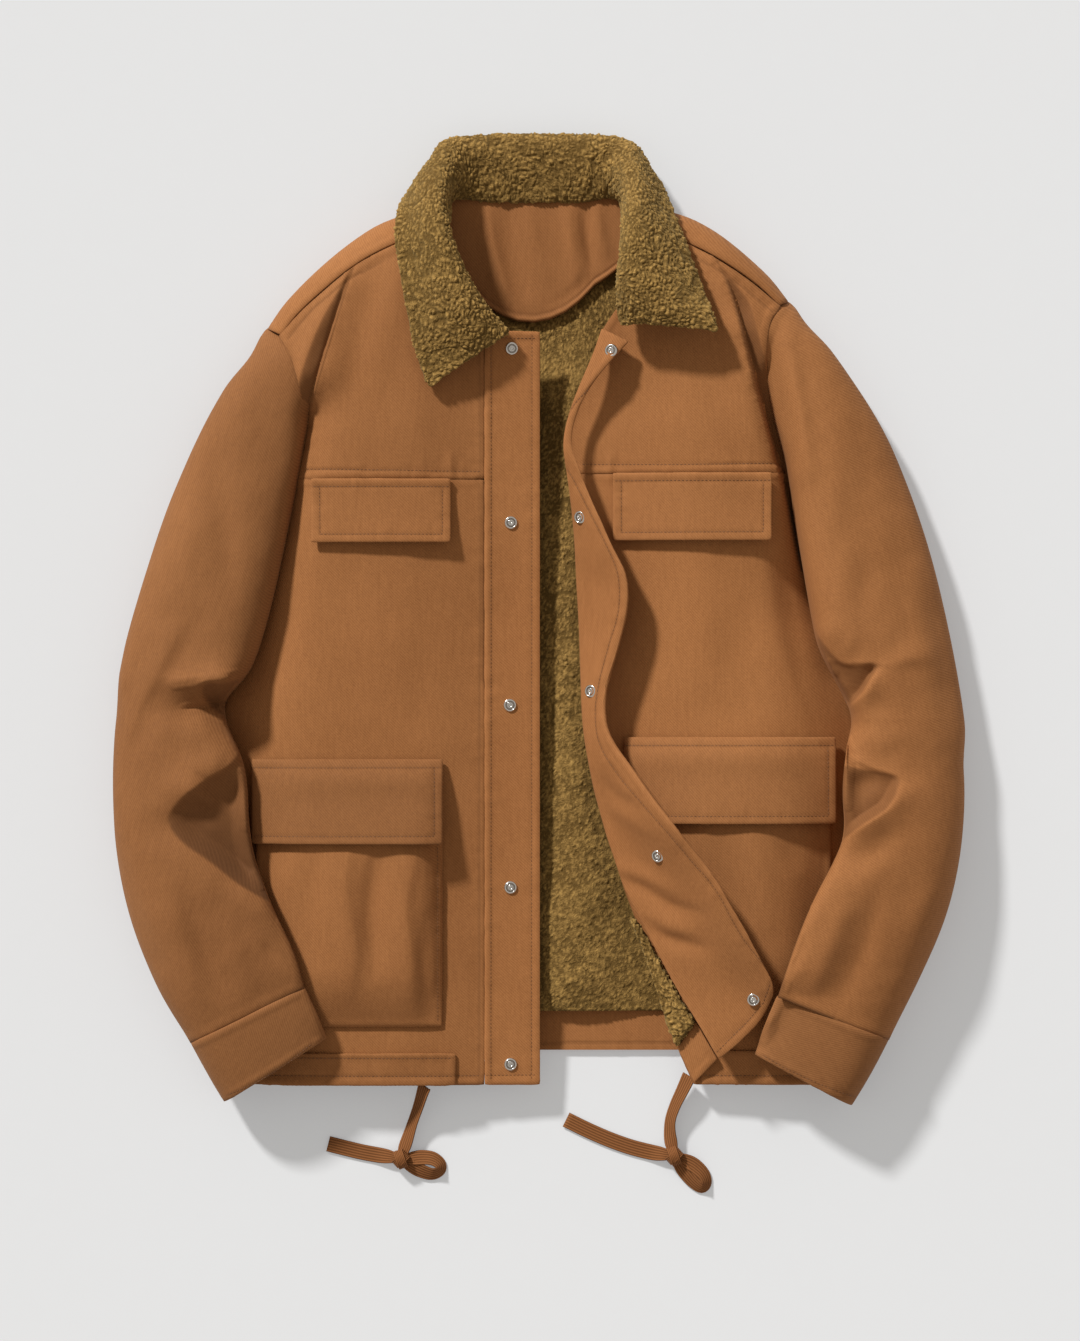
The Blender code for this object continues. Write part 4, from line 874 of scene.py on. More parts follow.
ROLL_SHARE = {"front": 0.9, "sleeve": 0.9, "flap": 0.5}
BODY_RIM = 0.92         # sharpness kept at the rims of cloth and of pile when they are smoothed
PILE_RIM = 0.46
FINE_FROM = {True: 0.011, False: 0.006}     # height in metres from which sleeves, and the rest, are fine
JOIN_WIDTH = 1.3        # width of the painted shade at a joined edge, and of the wear and painted highlight at a free one
PAINTED_HIGHLIGHT_AND_WEAR_WIDTH = 1.6


def sewn_line(line):
    """A curve through many points, or straight lines through a few."""
    return smooth_line(line) if len(line) > 5 else np.array(line, float)


def slow_wave(points):
    """Gentle swell that every upper layer of the body shares, so that none cuts another."""
    flat = points * np.array([1.0, 0.55, 0.0])
    return 0.7 * cloudy(flat, 62.0, 11) + 0.25 * cloudy(flat, 21.0, 12)


def press_sewing(points, normals, name, upper):
    """Moves points into the stitched lines and ripples the cloth beside them."""
    moved = np.zeros(len(points))
    painted_shade = np.zeros(len(points))
    for number, (hosts, line, _) in enumerate(SEWING):
        if name not in hosts:
            continue
        away, run, _ = beside(points[:, :2], sewn_line(line))
        close = upper & (away < 3 * PUCKER_REACH)
        ripple_at = np.stack([run / PUCKER_STEP, away * 0.03, np.full(len(run), number * 7.3)], axis=1)
        ripple = cloudy(ripple_at, 1.0, 31) + 0.5 * cloudy(ripple_at * 2.3, 1.0, 32)
        rise = sizes().pucker * ripple * bell(away, PUCKER_REACH) - PRESS_DEPTH * bell(away, PRESS_WIDTH)
        moved += np.where(close, rise, 0.0)
        painted_shade = np.maximum(painted_shade, np.where(close, PRESS_DARK * bell(away, PRESS_DARK_WIDTH), 0.0))
    return points + normals * moved[:, None], painted_shade


# Painted shade along the edges that a seam joins to the next panel.
SEAM_SHADE = {"left_front": 0.4, "right_front": 0.4, "left_front_yoke": 0.15, "right_front_yoke": 0.15,
              "back_yoke": 0.1, "left_sleeve": 0.8, "right_sleeve": 0.8}

# How far the body's side edges reach on under the sleeves: height up the body, reach.
TUCK_AT = (-374.0, -200.0, -130.0, -60.0, 30.0, 70.0, 120.0, 232.0)
TUCK_REACH = (6.0, 9.0, 18.0, 20.0, 14.0, 10.0, 9.0, 2.0)
TUCK_WIDTH = 24.0

# Corners where yoke, front and sleeve meet, closed up: centre, radius, shift.
SEAM_CORNERS = {
    "left_front": [((-194, 113), 8.0, (-3.0, 3.2, 0.0))],
    "left_front_yoke": [((-194, 118), 8.0, (-3.0, -3.2, 0.0))],
    "right_front": [((198, 112), 8.0, (3.0, 3.2, 0.0))],
    "right_front_yoke": [((199, 117), 8.0, (3.0, -3.2, 0.0))],
}


def across_rows(points, step):
    """Lowest and highest X of the piece at each point's Y."""
    rows = np.round(points[:, 1] / step).astype(int)
    first = rows.min()
    low, high = np.full(rows.max() - first + 1, 1e9), np.full(rows.max() - first + 1, -1e9)
    np.minimum.at(low, rows - first, points[:, 0])
    np.maximum.at(high, rows - first, points[:, 0])
    at = (np.arange(len(low)) + first) * step
    return np.interp(points[:, 1], at, low), np.interp(points[:, 1], at, high)


def tuck_sides(points, side):
    """Draws the body's side edges out under the sleeve; side is -1 for the left and 1 for the right."""
    low, high = across_rows(points, 14.0)
    away = points[:, 0] - low if side < 0 else high - points[:, 0]
    near = np.clip(1.0 - away / TUCK_WIDTH, 0.0, 1.1) ** 1.6
    points[:, 0] += side * near * np.interp(points[:, 1], TUCK_AT, TUCK_REACH)


def close_sleeve(points, edge, side):
    """Draws the sleeve's head onto the body and its lower end onto the cuff."""
    near = np.clip(1.0 - edge / 9.0, 0.0, 1.0) ** 1.5
    head = near * (points[:, 1] > 0)
    foot = near * (points[:, 1] < -200)
    points[:, 0] += side * (-2.1 * head - 0.6 * foot)
    points[:, 1] += 0.9 * head - 2.0 * foot


# The sleeves' outer lines, drawn out to their left by an amount.
SLEEVE_OUTLINE = {
    "left_sleeve": (4.6, [(-330, -80), (-322, 13), (-300, 90), (-277, 136), (-258, 173), (-232, 214)]),
    "right_sleeve": (4.0, [(206, 238), (241, 195), (278, 136), (304, 78), (324, 15), (337, -54),
                           (341, -120)]),
}
SLEEVE_MOVES = {"left_sleeve": [((-219, 229), 16.0, (-1.6, 2.6, 0.6))],
                "right_sleeve": [((202, 250), 16.0, (2.0, 3.2, 0.6))]}
SHOULDER_OUTLINE = [
    (3.2, [(-226, 226), (-195, 258), (-150, 296), (-100, 326)]),
    (3.6, [(92, 330), (131, 312), (177, 276), (206, 246)]),
]
SLEEVE_REACH = 50.0     # how far in from an outer line the cloth is drawn along
SHOULDER_REACH = 30.0
WALL_DROP = 2.6         # how far the sleeve's inner wall lies below its crown's cloth
LEAN = {-1.0: 0.05, 1.0: 0.20}              # by side
LEAN_AT = (-345.0, -280.0, 120.0, 235.0)    # heights up the body between which the sleeve leans


def lean_sleeve(points, side):
    """Lowers the sleeve's outer half, so that its crown lies nearer the body."""
    low, high = across_rows(points, 20.0)
    across = side * (2.0 * points[:, 0] - low - high) / np.maximum(high - low, 1.0)
    share = np.interp(points[:, 1], LEAN_AT, (0.0, 1.0, 1.0, 0.0))
    points[:, 2] *= 1.0 - LEAN[side] * share * np.clip(across, -1.0, 1.0)


def in_fine_cloth(face, limits):
    centre = face.calc_center_median() / MM
    left, low, right, high = limits
    return left < centre.x < right and low < centre.y - BODY_SHIFT < high and centre.z > FINE_CLOTH_FROM


def shape_sleeve(node, points, normals, edge, side):
    """Gives a sleeve its outer line, lean, hollows and creases. Returns the hollows' shade."""
    close_sleeve(points, edge, side)
    push_edge(points, SLEEVE_OUTLINE[node][0], SLEEVE_REACH, SLEEVE_OUTLINE[node][1])
    nudge(points, SLEEVE_MOVES[node])
    lean_sleeve(points, side)
    high = ramp(points[:, 2], 7.0, 21.0)
    low_x, high_x = across_rows(points, 6.0)
    from_body = high_x - points[:, 0] if side < 0 else points[:, 0] - low_x
    hollow, hollow_painted_shade = hollows_at(points[:, :2], SLEEVE_HOLLOWS)
    hollow *= 0.5 + 0.5 * ramp(from_body, 0.0, 16.0)
    rise = (folds_at(points[:, :2], SLEEVE_CREASES) + hollow) * high
    rise += (0.8 * cloudy(points, 34.0, 5) + 0.35 * cloudy(points, 13.0, 6)) * high
    middle = ramp(points[:, 1], -282.0, -262.0) * ramp(points[:, 1], 96.0, 76.0)
    inner = (normals[:, 2] < 0.0) & (points[:, 2] > 9.0)
    points[:, 2] += rise * np.maximum(ramp(edge, 0.0, 6.0), middle) - WALL_DROP * inner * middle
    return hollow_painted_shade


def shape_body(node, points, edge):
    """Gives a body panel the shared swell, its folds and hollows. Returns the hollows' shade."""
    hollow, hollow_painted_shade = hollows_at(points[:, :2], BODY_HOLLOWS)
    rise = slow_wave(points) + folds_at(points[:, :2], BODY_FOLDS) + hollow
    if "pocket_bag" in node:
        rise += folds_at(points[:, :2], BAG_FOLDS) * ramp(edge, 0.0, 10.0)
    if node == "right_facing":
        away = beside(points[:, :2], smooth_line(FRONT_EDGE))[0]
        rise += FACING_LIFT * eased(1.0 - away / FACING_REACH) + folds_at(points[:, :2], FACING_FOLDS)
    points[:, 2] += rise
    return hollow_painted_shade


def cloth_panel(node, grain, tint):
    """A panel's soft copy: smoothed, creased, pressed along its seams and rolled at its edges."""
    sleeve = "sleeve" in node
    piece, mesh = soft_copy(node, node + "_cloth", BODY_RIM, twill_finish("twill_" + node, grain, tint))
    lowest = FINE_FROM[sleeve]
    finer_where(mesh, lambda face: face.normal.z > 0.25 and face.calc_center_median().z > lowest, 1)
    if node in FINE_CLOTH:
        finer_where(mesh, lambda face: face.normal.z > 0.1 and in_fine_cloth(face, FINE_CLOTH[node]), 1)
    smooth_faces(mesh)
    points, normals = points_of(mesh), normals_of(mesh)
    upper = normals[:, 2] > 0.2
    edge = rim_distance(mesh, points)
    side = -1.0 if node.startswith("left") else 1.0
    hollow_painted_shade = np.zeros(len(points))
    if node in SEAM_CORNERS:
        tuck_sides(points, side)
        nudge(points, SEAM_CORNERS[node])
    if sleeve:
        hollow_painted_shade = shape_sleeve(node, points, normals, edge, side)
    elif "cuff" in node:
        points += normals * (0.4 * cloudy(points, 24.0, 8) * ramp(points[:, 2], 8.0, 22.0))[:, None]
    elif node == "back_yoke":
        for amount, line in SHOULDER_OUTLINE:
            push_edge(points, amount, SHOULDER_REACH, line)
    else:
        hollow_painted_shade = shape_body(node, points, edge)
    full = 1.0 - ((edge - ROLL_WIDTH / 2) / (ROLL_WIDTH / 2)) ** 2
    roll = np.where(upper & (edge < ROLL_WIDTH), np.maximum(full, 0.0), 0.0) * sizes().roll
    for part, share in ROLL_SHARE.items():
        roll *= share if part in node else 1.0
    points += normals * roll[:, None]
    points, painted_shade = press_sewing(points, normals, node, upper)
    # Painted shade along edges joined to the next panel.
    if node in SEAM_SHADE:
        ends = ramp(np.abs(points[:, 1] + 60.0), 150.0, 170.0) if sleeve else 1.0
        painted_shade = np.maximum(painted_shade, SEAM_SHADE[node] * bell(edge, JOIN_WIDTH) * upper * ends)
    points[:, 2] = np.maximum(points[:, 2], 0.0)
    put_points(mesh, points)
    # Free top edges get wear and a painted highlight; joined edges, stitched grooves and hollows get painted
    # shade.
    painted_light_and_wear = 0.0 if node in SEAM_SHADE else 1.0
    set_attribute(mesh, "edge", painted_light_and_wear * bell(edge, PAINTED_HIGHLIGHT_AND_WEAR_WIDTH) * upper)
    set_attribute(mesh, "painted_shade", np.maximum(painted_shade, hollow_painted_shade * upper))
    return piece


def settle_sheet(piece, slot, node, width, length):
    """Settles a cloth piece and states its cut, its flat area read from the solid's two sides."""
    settle(piece, slot, node)
    area = sum(face.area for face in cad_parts[node].data.polygons) / 2.0
    flat = (width * MM, length * MM)
    area = min(max(area, 0.31 * flat[0] * flat[1]), flat[0] * flat[1])


class JACKET_OT_panels(bpy.types.Operator):
    """Make the twill panels, sleeves, cuffs, flaps, pockets and facings"""
    bl_idname = "jacket.panels"
    bl_label = "Twill Panels"

    def execute(self, context):
        for node, width, length, grain, tint in PANELS:
            slot = "inner_twill" if "facing" in node else "shell_twill"
            settle_sheet(cloth_panel(node, grain, tint), slot, node, width, length)
        return {"FINISHED"}


# ---------------------------------------------------------------- flat inner pieces

def slab_rows(node, columns, row_step):
    """Rows of points across a flat slab; columns are shares of its width at each row."""
    low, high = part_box(node)
    tree = solid_tree(node)
    middle = (low.z + high.z) / 2
    count = max(2, int((high.y - low.y) / (row_step * MM)))
    rows = []
    for k in range(count + 1):
        y = low.y + (high.y - low.y) * k / count
        inside = min(max(y, low.y + 1e-4), high.y - 1e-4)
        left = tree.ray_cast(Vector((low.x - 0.05, inside, middle)), Vector((1, 0, 0)))[0]
        right = tree.ray_cast(Vector((high.x + 0.05, inside, middle)), Vector((-1, 0, 0)))[0]
        rows.append([(left.x + (right.x - left.x) * share, y) for share in columns])
    return rows, low.z, high.z


def slab(name, rows, low, high, finish):
    """Closed slab: an upper grid, a rim and one flat face below."""
    shape = bmesh.new()
    grid = [[shape.verts.new((x, y, high)) for x, y in row] for row in rows]
    for a, b in zip(grid, grid[1:]):
        for p, q, r, s in zip(a, a[1:], b[1:], b):
            shape.faces.new((p, q, r, s))
    ring = grid[0] + [row[-1] for row in grid[1:]] + list(reversed(grid[-1][:-1]))
    ring += [row[0] for row in reversed(grid[1:-1])]
    below = [shape.verts.new((v.co.x, v.co.y, low)) for v in ring]
    for k, v in enumerate(ring):
        n = (k + 1) % len(ring)
        shape.faces.new((v, below[k], below[n], ring[n]))
    shape.faces.new(list(reversed(below)))
    bmesh.ops.recalc_face_normals(shape, faces=shape.faces)
    mesh = bpy.data.meshes.new(name)
    shape.to_mesh(mesh)
    shape.free()
    return add_piece(name, mesh, finish)


def even_shares(count):
    return [k / count for k in range(count + 1)]


# Soft folds of the neck facing: rise, widths, line.
NECK_FOLDS = [
    (2.8, 5, 9, [(-42, 334), (-37, 300), (-26, 262), (-16, 246)]),
    (-2.4, 7, 8, [(-26, 334), (-22, 296), (-8, 256)]),
    (1.8, 8, 8, [(-8, 334), (-4, 300), (8, 268)]),
    (2.4, 9, 5, [(22, 334), (26, 300), (32, 266)]),
    (-2.6, 5, 5, [(36, 334), (39, 304), (44, 280)]),
    (2.2, 4, 6, [(47, 334), (50, 306), (56, 290)]),
    (-1.6, 5, 7, [(10, 250), (24, 258), (38, 270)]),
]


PIPING_SEAM = 5.4       # from the neck facing's foot to the seam beside its piping

# The back lining: where in X it is open to view, in metres, its steps there and under the fronts, the
# step from row to row and the swell of its open middle in millimetres, and its clumps against the collar's.
LINING_OPEN = (-0.024, 0.126)
LINING_FINE_STEP = 0.0016
LINING_STEP = 0.016
LINING_ROWS = 1.65
LINING_SWELL = 11.5
LINING_CLUMP = 0.82


def pile_relief(points, normals, upper, scale=1.0):
    """Curled tufts of pile raised on the points, with how high each stands from 0 to 1."""
    clump = sizes().clump * scale
    drift = np.stack([cloudy(points, clump * 2.6, 40 + k) for k in range(3)], axis=1)
    lie = np.stack([cloudy(points, 46.0, 46 + k) for k in range(3)], axis=1)
    warped = points + drift * clump * 0.75
    warped = warped + lie * np.roll(warped, 1, axis=1) * 0.012
    first, second = clumps(warped * np.array([1.0, 0.78, 1.0]), clump, 50)
    tuft = eased((second - first) / 0.5) * (1.0 - 0.35 * np.clip(first, 0.0, 1.0) ** 2)
    billow = np.abs(cloudy(warped, clump * 0.85, 54)) ** 0.55
    curl = np.abs(cloudy(warped + 0.6 * drift, clump * 0.42, 58)) ** 0.7
    broad = 0.5 + 0.5 * cloudy(points, 15.0, 44)
    parting = np.abs(cloudy(warped + 1.6 * drift, clump * 2.9, 65))
    parting = (1.0 - eased(parting / 0.13)) * eased(cloudy(points, 24.0, 66) + 0.45)
    tall = 0.38 * tuft + 0.40 * billow + 0.22 * curl
    tall = np.clip(0.54 + 1.15 * (tall - 0.5) + 0.25 * (broad - 0.5) - 0.55 * parting, 0.0, 1.0)
    rise = sizes().pile_depth * scale * (tall - 0.5)
    return points + normals * (rise * upper)[:, None], tall


class JACKET_OT_linings(bpy.types.Operator):
    """Make the back shell, the sherpa back lining, the hem facing and the neck facing"""
    bl_idname = "jacket.linings"
    bl_label = "Linings"

    def execute(self, context):
        rows, low, high = slab_rows("back_shell", even_shares(40), 10.0)
        piece = slab("back_shell_cloth", rows, low, high, twill_finish("twill_back", 0))
        settle_sheet(piece, "shell_twill", "back_shell", 498, 548)

        rows, low, high = slab_rows("back_hem_facing", even_shares(200), 1.5)
        piece = slab("back_hem_facing_cloth", rows, low, high, twill_finish("twill_hem", 0, 0.98))
        mesh = piece.data
        points = points_of(mesh)
        top = points[:, 2] > high / MM - 0.1
        line = bell(points[:, 1] + 341.5, 1.4)
        points[:, 2] += top * (0.25 * cloudy(points * np.array([1, 0.3, 1]), 8.0, 21) - 0.4 * line)
        put_points(mesh, points)
        # Painted shade in the pressed line.
        set_attribute(mesh, "painted_shade", 0.3 * line * top)
        settle_sheet(piece, "inner_twill", "back_hem_facing", 458, 32)

        self.make_neck_facing()
        self.make_back_lining()
        return {"FINISHED"}

    def make_neck_facing(self):
        low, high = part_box("neck_facing")
        tree = solid_tree("neck_facing")
        middle = (low.z + high.z) / 2
        columns = []
        for k in range(81):
            x = low.x + (high.x - low.x) * k / 80
            inside = min(max(x, low.x + 1e-4), high.x - 1e-4)
            foot = tree.ray_cast(Vector((inside, low.y - 0.05, middle)), Vector((0, 1, 0)))[0]
            columns.append([(x, foot.y + (high.y - foot.y) * s / 60) for s in range(61)])
        rows = [[column[s] for column in columns] for s in range(61)]
        piece = slab("neck_facing_cloth", rows, low.z, high.z, twill_finish("twill_neck", 4, 0.92))
        mesh = piece.data
        points = points_of(mesh)
        feet = np.array([(c[0][0] / MM, c[0][1] / MM - BODY_SHIFT) for c in columns])
        above = points[:, 1] - np.interp(points[:, 0], feet[:, 0], feet[:, 1])
        top = points[:, 2] > high.z / MM - 0.1
        x = points[:, 0]
        x += 0.9 * np.maximum(x - 44.0, 0.0) - 0.9 * np.maximum(-50.0 - x, 0.0)
        points[:, 1] += 0.8 * np.maximum(points[:, 1] - 324.0, 0.0)
        piping = np.clip(1.0 - ((above - 2.2) / 2.4) ** 2, 0.0, 1.0) ** 0.5
        rise = 2.6 + folds_at(points[:, :2], NECK_FOLDS) * ramp(above, 0.0, 26.0) + 1.5 * piping
        rise -= 0.5 * bell(above - PIPING_SEAM, 1.0)
        points[:, 2] += rise * top
        put_points(mesh, points)
        smooth_faces(mesh)
        # Painted shade along the seam beside the piping.
        set_attribute(mesh, "painted_shade", 0.4 * bell(above - PIPING_SEAM, 0.9) * top)
        settle_sheet(piece, "inner_twill", "neck_facing", 122, 97)

    def make_back_lining(self):
        """Fine where the fronts leave it open, coarse under them."""
        low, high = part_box("back_lining")
        width = high.x - low.x
        shares, x = [0.0], low.x
        while x < high.x - 4.0 * MM:
            x += LINING_FINE_STEP if LINING_OPEN[0] < x < LINING_OPEN[1] else LINING_STEP
            shares.append(min((x - low.x) / width, 1.0))
        shares[-1] = 1.0
        rows, bottom, top = slab_rows("back_lining", shares, LINING_ROWS)
        piece = slab("back_lining_pile", rows, bottom, top, pile_finish("sherpa_back", 0.97))
        mesh = piece.data
        points = points_of(mesh)
        upper = (points[:, 2] > top / MM - 0.1) & (points[:, 0] > -28) & (points[:, 0] < 132)
        swell = 1.1 * cloudy(points, 48.0, 71) + 0.7 * cloudy(points, 22.0, 72)
        open_band = ramp(points[:, 1], -345.0, -285.0) * ramp(points[:, 1], 222.0, 172.0)
        swell += LINING_SWELL * bell(points[:, 0] - 27.0, 36.0) * open_band
        points[:, 2] += np.where(upper, swell, 0.0)
        up = np.zeros_like(points)
        up[:, 2] = 1.0
        points, tall = pile_relief(points, up, upper.astype(float), LINING_CLUMP)
        put_points(mesh, points)
        smooth_faces(mesh)
        set_attribute(mesh, "pile", np.where(upper, tall, 0.5))
        settle_sheet(piece, "lining_sherpa", "back_lining", 458, 616)


# ---------------------------------------------------------------- collar and the turned lining

def pile_copy(node, name, times, chosen, tint):
    """Sherpa copy of a solid, fine and clumped on the faces that show."""
    piece, mesh = soft_copy(node, name, PILE_RIM, pile_finish("sherpa_" + node, tint))
    finer_where(mesh, chosen, times)
    smooth_faces(mesh)
    points, normals = points_of(mesh), normals_of(mesh)
    count = np.zeros(len(points))
    for face in mesh.polygons:
        count[list(face.vertices)] += 1.0 / face.area
    fine = eased(np.log10(count * 1e-6 + 1e-9) + 0.9)
    if node == "collar":
        nudge(points, COLLAR_MOVES)
    points += normals * (0.9 + 0.9 * cloudy(points, 30.0, 81) * fine)[:, None]
    points, tall = pile_relief(points, normals, fine)
    points[:, 2] = np.maximum(points[:, 2], 0.3)
    put_points(mesh, points)
    set_attribute(mesh, "pile", tall)
    return piece


# Fuller corners of the collar: centre, radius, shift.
COLLAR_MOVES = [((-74, 384), 15.0, (-5.0, 2.0, 0.0)), ((80, 384), 15.0, (4.0, 2.0, 0.0)),
                ((-60, 328), 12.0, (-7.0, 5.0, 0.0)), ((54, 328), 12.0, (7.0, 4.5, 0.0)),
                ((-86, 186), 10.0, (-1.0, -3.5, 0.0)), ((142, 224), 10.0, (1.5, -3.0, 0.0)),
                ((64, 230), 11.0, (-1.0, -7.0, 0.0))]


class JACKET_OT_collar(bpy.types.Operator):
    """Make the sherpa collar and the strip of lining that shows where the front turns back"""
    bl_idname = "jacket.collar"
    bl_label = "Sherpa Collar"

    def execute(self, context):
        def outer(face):
            centre = face.calc_center_median()
            return face.normal.z > 0.05 and centre.z > 0.012
        piece = pile_copy("collar", "collar_pile", 2, outer, 1.0)
        settle_sheet(piece, "collar_sherpa", "collar", 560, 118)
        strip = pile_copy("right_front_lining", "right_lining_pile", 1, lambda f: f.normal.z > 0.0, 1.04)
        settle_sheet(strip, "lining_sherpa", "right_front_lining", 50, 108)
        return {"FINISHED"}


# ---------------------------------------------------------------- sewing

def one_stitch():
    """A short length of thread, round and tapered, lying along X."""
    bpy.ops.object.select_all(action="DESELECT")
    bpy.ops.mesh.primitive_uv_sphere_add(segments=6, ring_count=4, radius=0.5, rotation=(0, math.pi / 2, 0))
    thread = bpy.context.active_object
    bpy.ops.object.transform_apply(location=False, rotation=True, scale=False)
    shape = [tuple(v.co) for v in thread.data.vertices]
    faces = [tuple(f.vertices) for f in thread.data.polygons]
    bpy.data.objects.remove(thread, do_unlink=True)
    return shape, faces


def stitch_row(line, tree, rng, shape, faces):
    """Copies of the stitch along a line dropped on the cloth: their points and faces."""
    size = sizes()
    line = sewn_line(line)
    reach = reach_of(line)
    verts, polys = [], []
    for k in range(int(reach[-1] / size.stitch_step)):
        at = (k + 0.5) * size.stitch_step
        ends = []
        for place in (at - size.stitch_length / 2, at + size.stitch_length / 2):
            x, y = np.interp(place, reach, line[:, 0]), np.interp(place, reach, line[:, 1])
            ends.append(drop_on(tree, x, y))
        if ends[0][0] is None or ends[1][0] is None or abs(ends[0][0].z - ends[1][0].z) > 3.0:
            continue
        along = ends[1][0] - ends[0][0]
        up = (ends[0][1] + ends[1][1]).normalized()
        side = up.cross(along).normalized()
        middle = (ends[0][0] + ends[1][0]) / 2 + up * (size.thread_width * 0.10 + rng.uniform(-0.05, 0.05))
        length = along.length * rng.uniform(0.92, 1.04)
        axis = (along.normalized() + side * rng.uniform(-0.07, 0.07)).normalized()
        start = len(verts)
        for p in shape:
            thick = size.thread_width
            verts.append((middle + axis * (p[0] * length) + side * (p[1] * thick) + up * (p[2] * thick)) * MM)
        polys.extend([start + i for i in face] for face in faces)
    return verts, polys


class JACKET_OT_sewing(bpy.types.Operator):
    """Make the rows of stitches that show"""
    bl_idname = "jacket.sewing"
    bl_label = "Stitching"

    def execute(self, context):
        rng = random.Random(4)
        shape, faces = one_stitch()
        for number, (hosts, line, shown) in enumerate(SEWING):
            if not shown:
                continue
            name = "stitches_%02d" % number
            tree = surface_of([bpy.data.objects[h + "_cloth"] for h in hosts])
            verts, polys = stitch_row(line, tree, rng, shape, faces)
            mesh = bpy.data.meshes.new(name)
            mesh.from_pydata(verts, [], polys)
            smooth_faces(mesh)
            settle(add_piece(name, mesh, thread_finish("sewing_thread")), "inner_twill")
        return {"FINISHED"}


# ---------------------------------------------------------------- snaps

# Steps of the snap's face inwards from its rim: how far in, how far up or down.
SNAP_STEPS = ((0.6, 0.7), (0.9, 0.0), (0.35, -1.1), (0.65, 0.0), (0.3, 1.05), (1.0, 0.0), (0.3, -1.1))
SNAP_RADIUS = 5.2
SNAP_DARK = ((0.0, 0.9), (2.9, 3.45))     # radii of the centre hole and the groove, where the plate gets painted shade


def model_snap():
    """Ring, groove and hollow stud, made once about the origin, in millimetres."""
    bpy.ops.object.select_all(action="DESELECT")
    bpy.ops.mesh.primitive_cylinder_add(vertices=32, radius=SNAP_RADIUS, depth=1.3, location=(0, 0, 0.65))
    snap = bpy.context.active_object
    bpy.ops.object.transform_apply(location=True, rotation=False, scale=False)
    bpy.ops.object.mode_set(mode="EDIT")
    bpy.ops.mesh.select_all(action="DESELECT")
    shape = bmesh.from_edit_mesh(snap.data)
    bpy.ops.mesh.select_mode(type="FACE")
    for face in shape.faces:
        face.select_set(face.normal.z > 0.9)
    bmesh.update_edit_mesh(snap.data)
    for inset, lift in SNAP_STEPS:
        bpy.ops.mesh.inset(thickness=inset, depth=0.0)
        bpy.ops.transform.translate(value=(0, 0, lift))
    bpy.ops.object.mode_set(mode="OBJECT")
    soft = snap.modifiers.new("edges", "BEVEL")
    soft.width = 0.16
    soft.segments = 2
    soft.limit_method = "ANGLE"
    soft.angle_limit = math.radians(30)
    apply_all(snap)
    smooth_faces(snap.data)
    radii = np.array([math.hypot(v.co.x, v.co.y) for v in snap.data.vertices])
    upper = np.array([v.co.z > 0.2 for v in snap.data.vertices])
    dark = sum((radii >= low) & (radii <= high) for low, high in SNAP_DARK)
    # Painted shade in the centre hole and the groove of the face.
    set_attribute(snap.data, "painted_light_and_wear", dark * upper)
    return snap


class JACKET_OT_snaps(bpy.types.Operator):
    """Make the snaps down the placket and the snap backs on the facing"""
    bl_idname = "jacket.snaps"
    bl_label = "Snaps"

    def execute(self, context):
        model = model_snap()
        for side, host in (("left", "left_placket_cloth"), ("right", "right_facing_cloth")):
            tree = surface_of([bpy.data.objects[host]])
            for k in range(1, 6):
                node = "snap_%s_%d" % (side, k)
                solid = np.array([v.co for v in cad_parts[node].data.vertices])
                centre = solid.mean(0)
                _, axes = np.linalg.eigh(np.cov((solid - centre).T))
                axis = Vector(axes[:, 0] * np.sign(axes[2, 0]))
                foot = Vector(centre) + axis * float(((solid - centre) @ np.array(axis)).min())
                seat, _ = drop_on(tree, centre[0] / MM, centre[1] / MM - BODY_SHIFT)
                if seat is not None:
                    foot.z = seat.z * MM - 0.0004
                turn = axis.to_track_quat("Z", "Y").to_matrix().to_4x4()
                mesh = model.data.copy()
                mesh.transform(Matrix.Translation(foot) @ turn @ Matrix.Scale(MM, 4))
                mesh.name = node + "_metal"
                settle(add_piece(node + "_metal", mesh, metal_finish("snap_plate")), "snap_metal", node)
        bpy.data.objects.remove(model, do_unlink=True)
        return {"FINISHED"}


# ---------------------------------------------------------------- ties

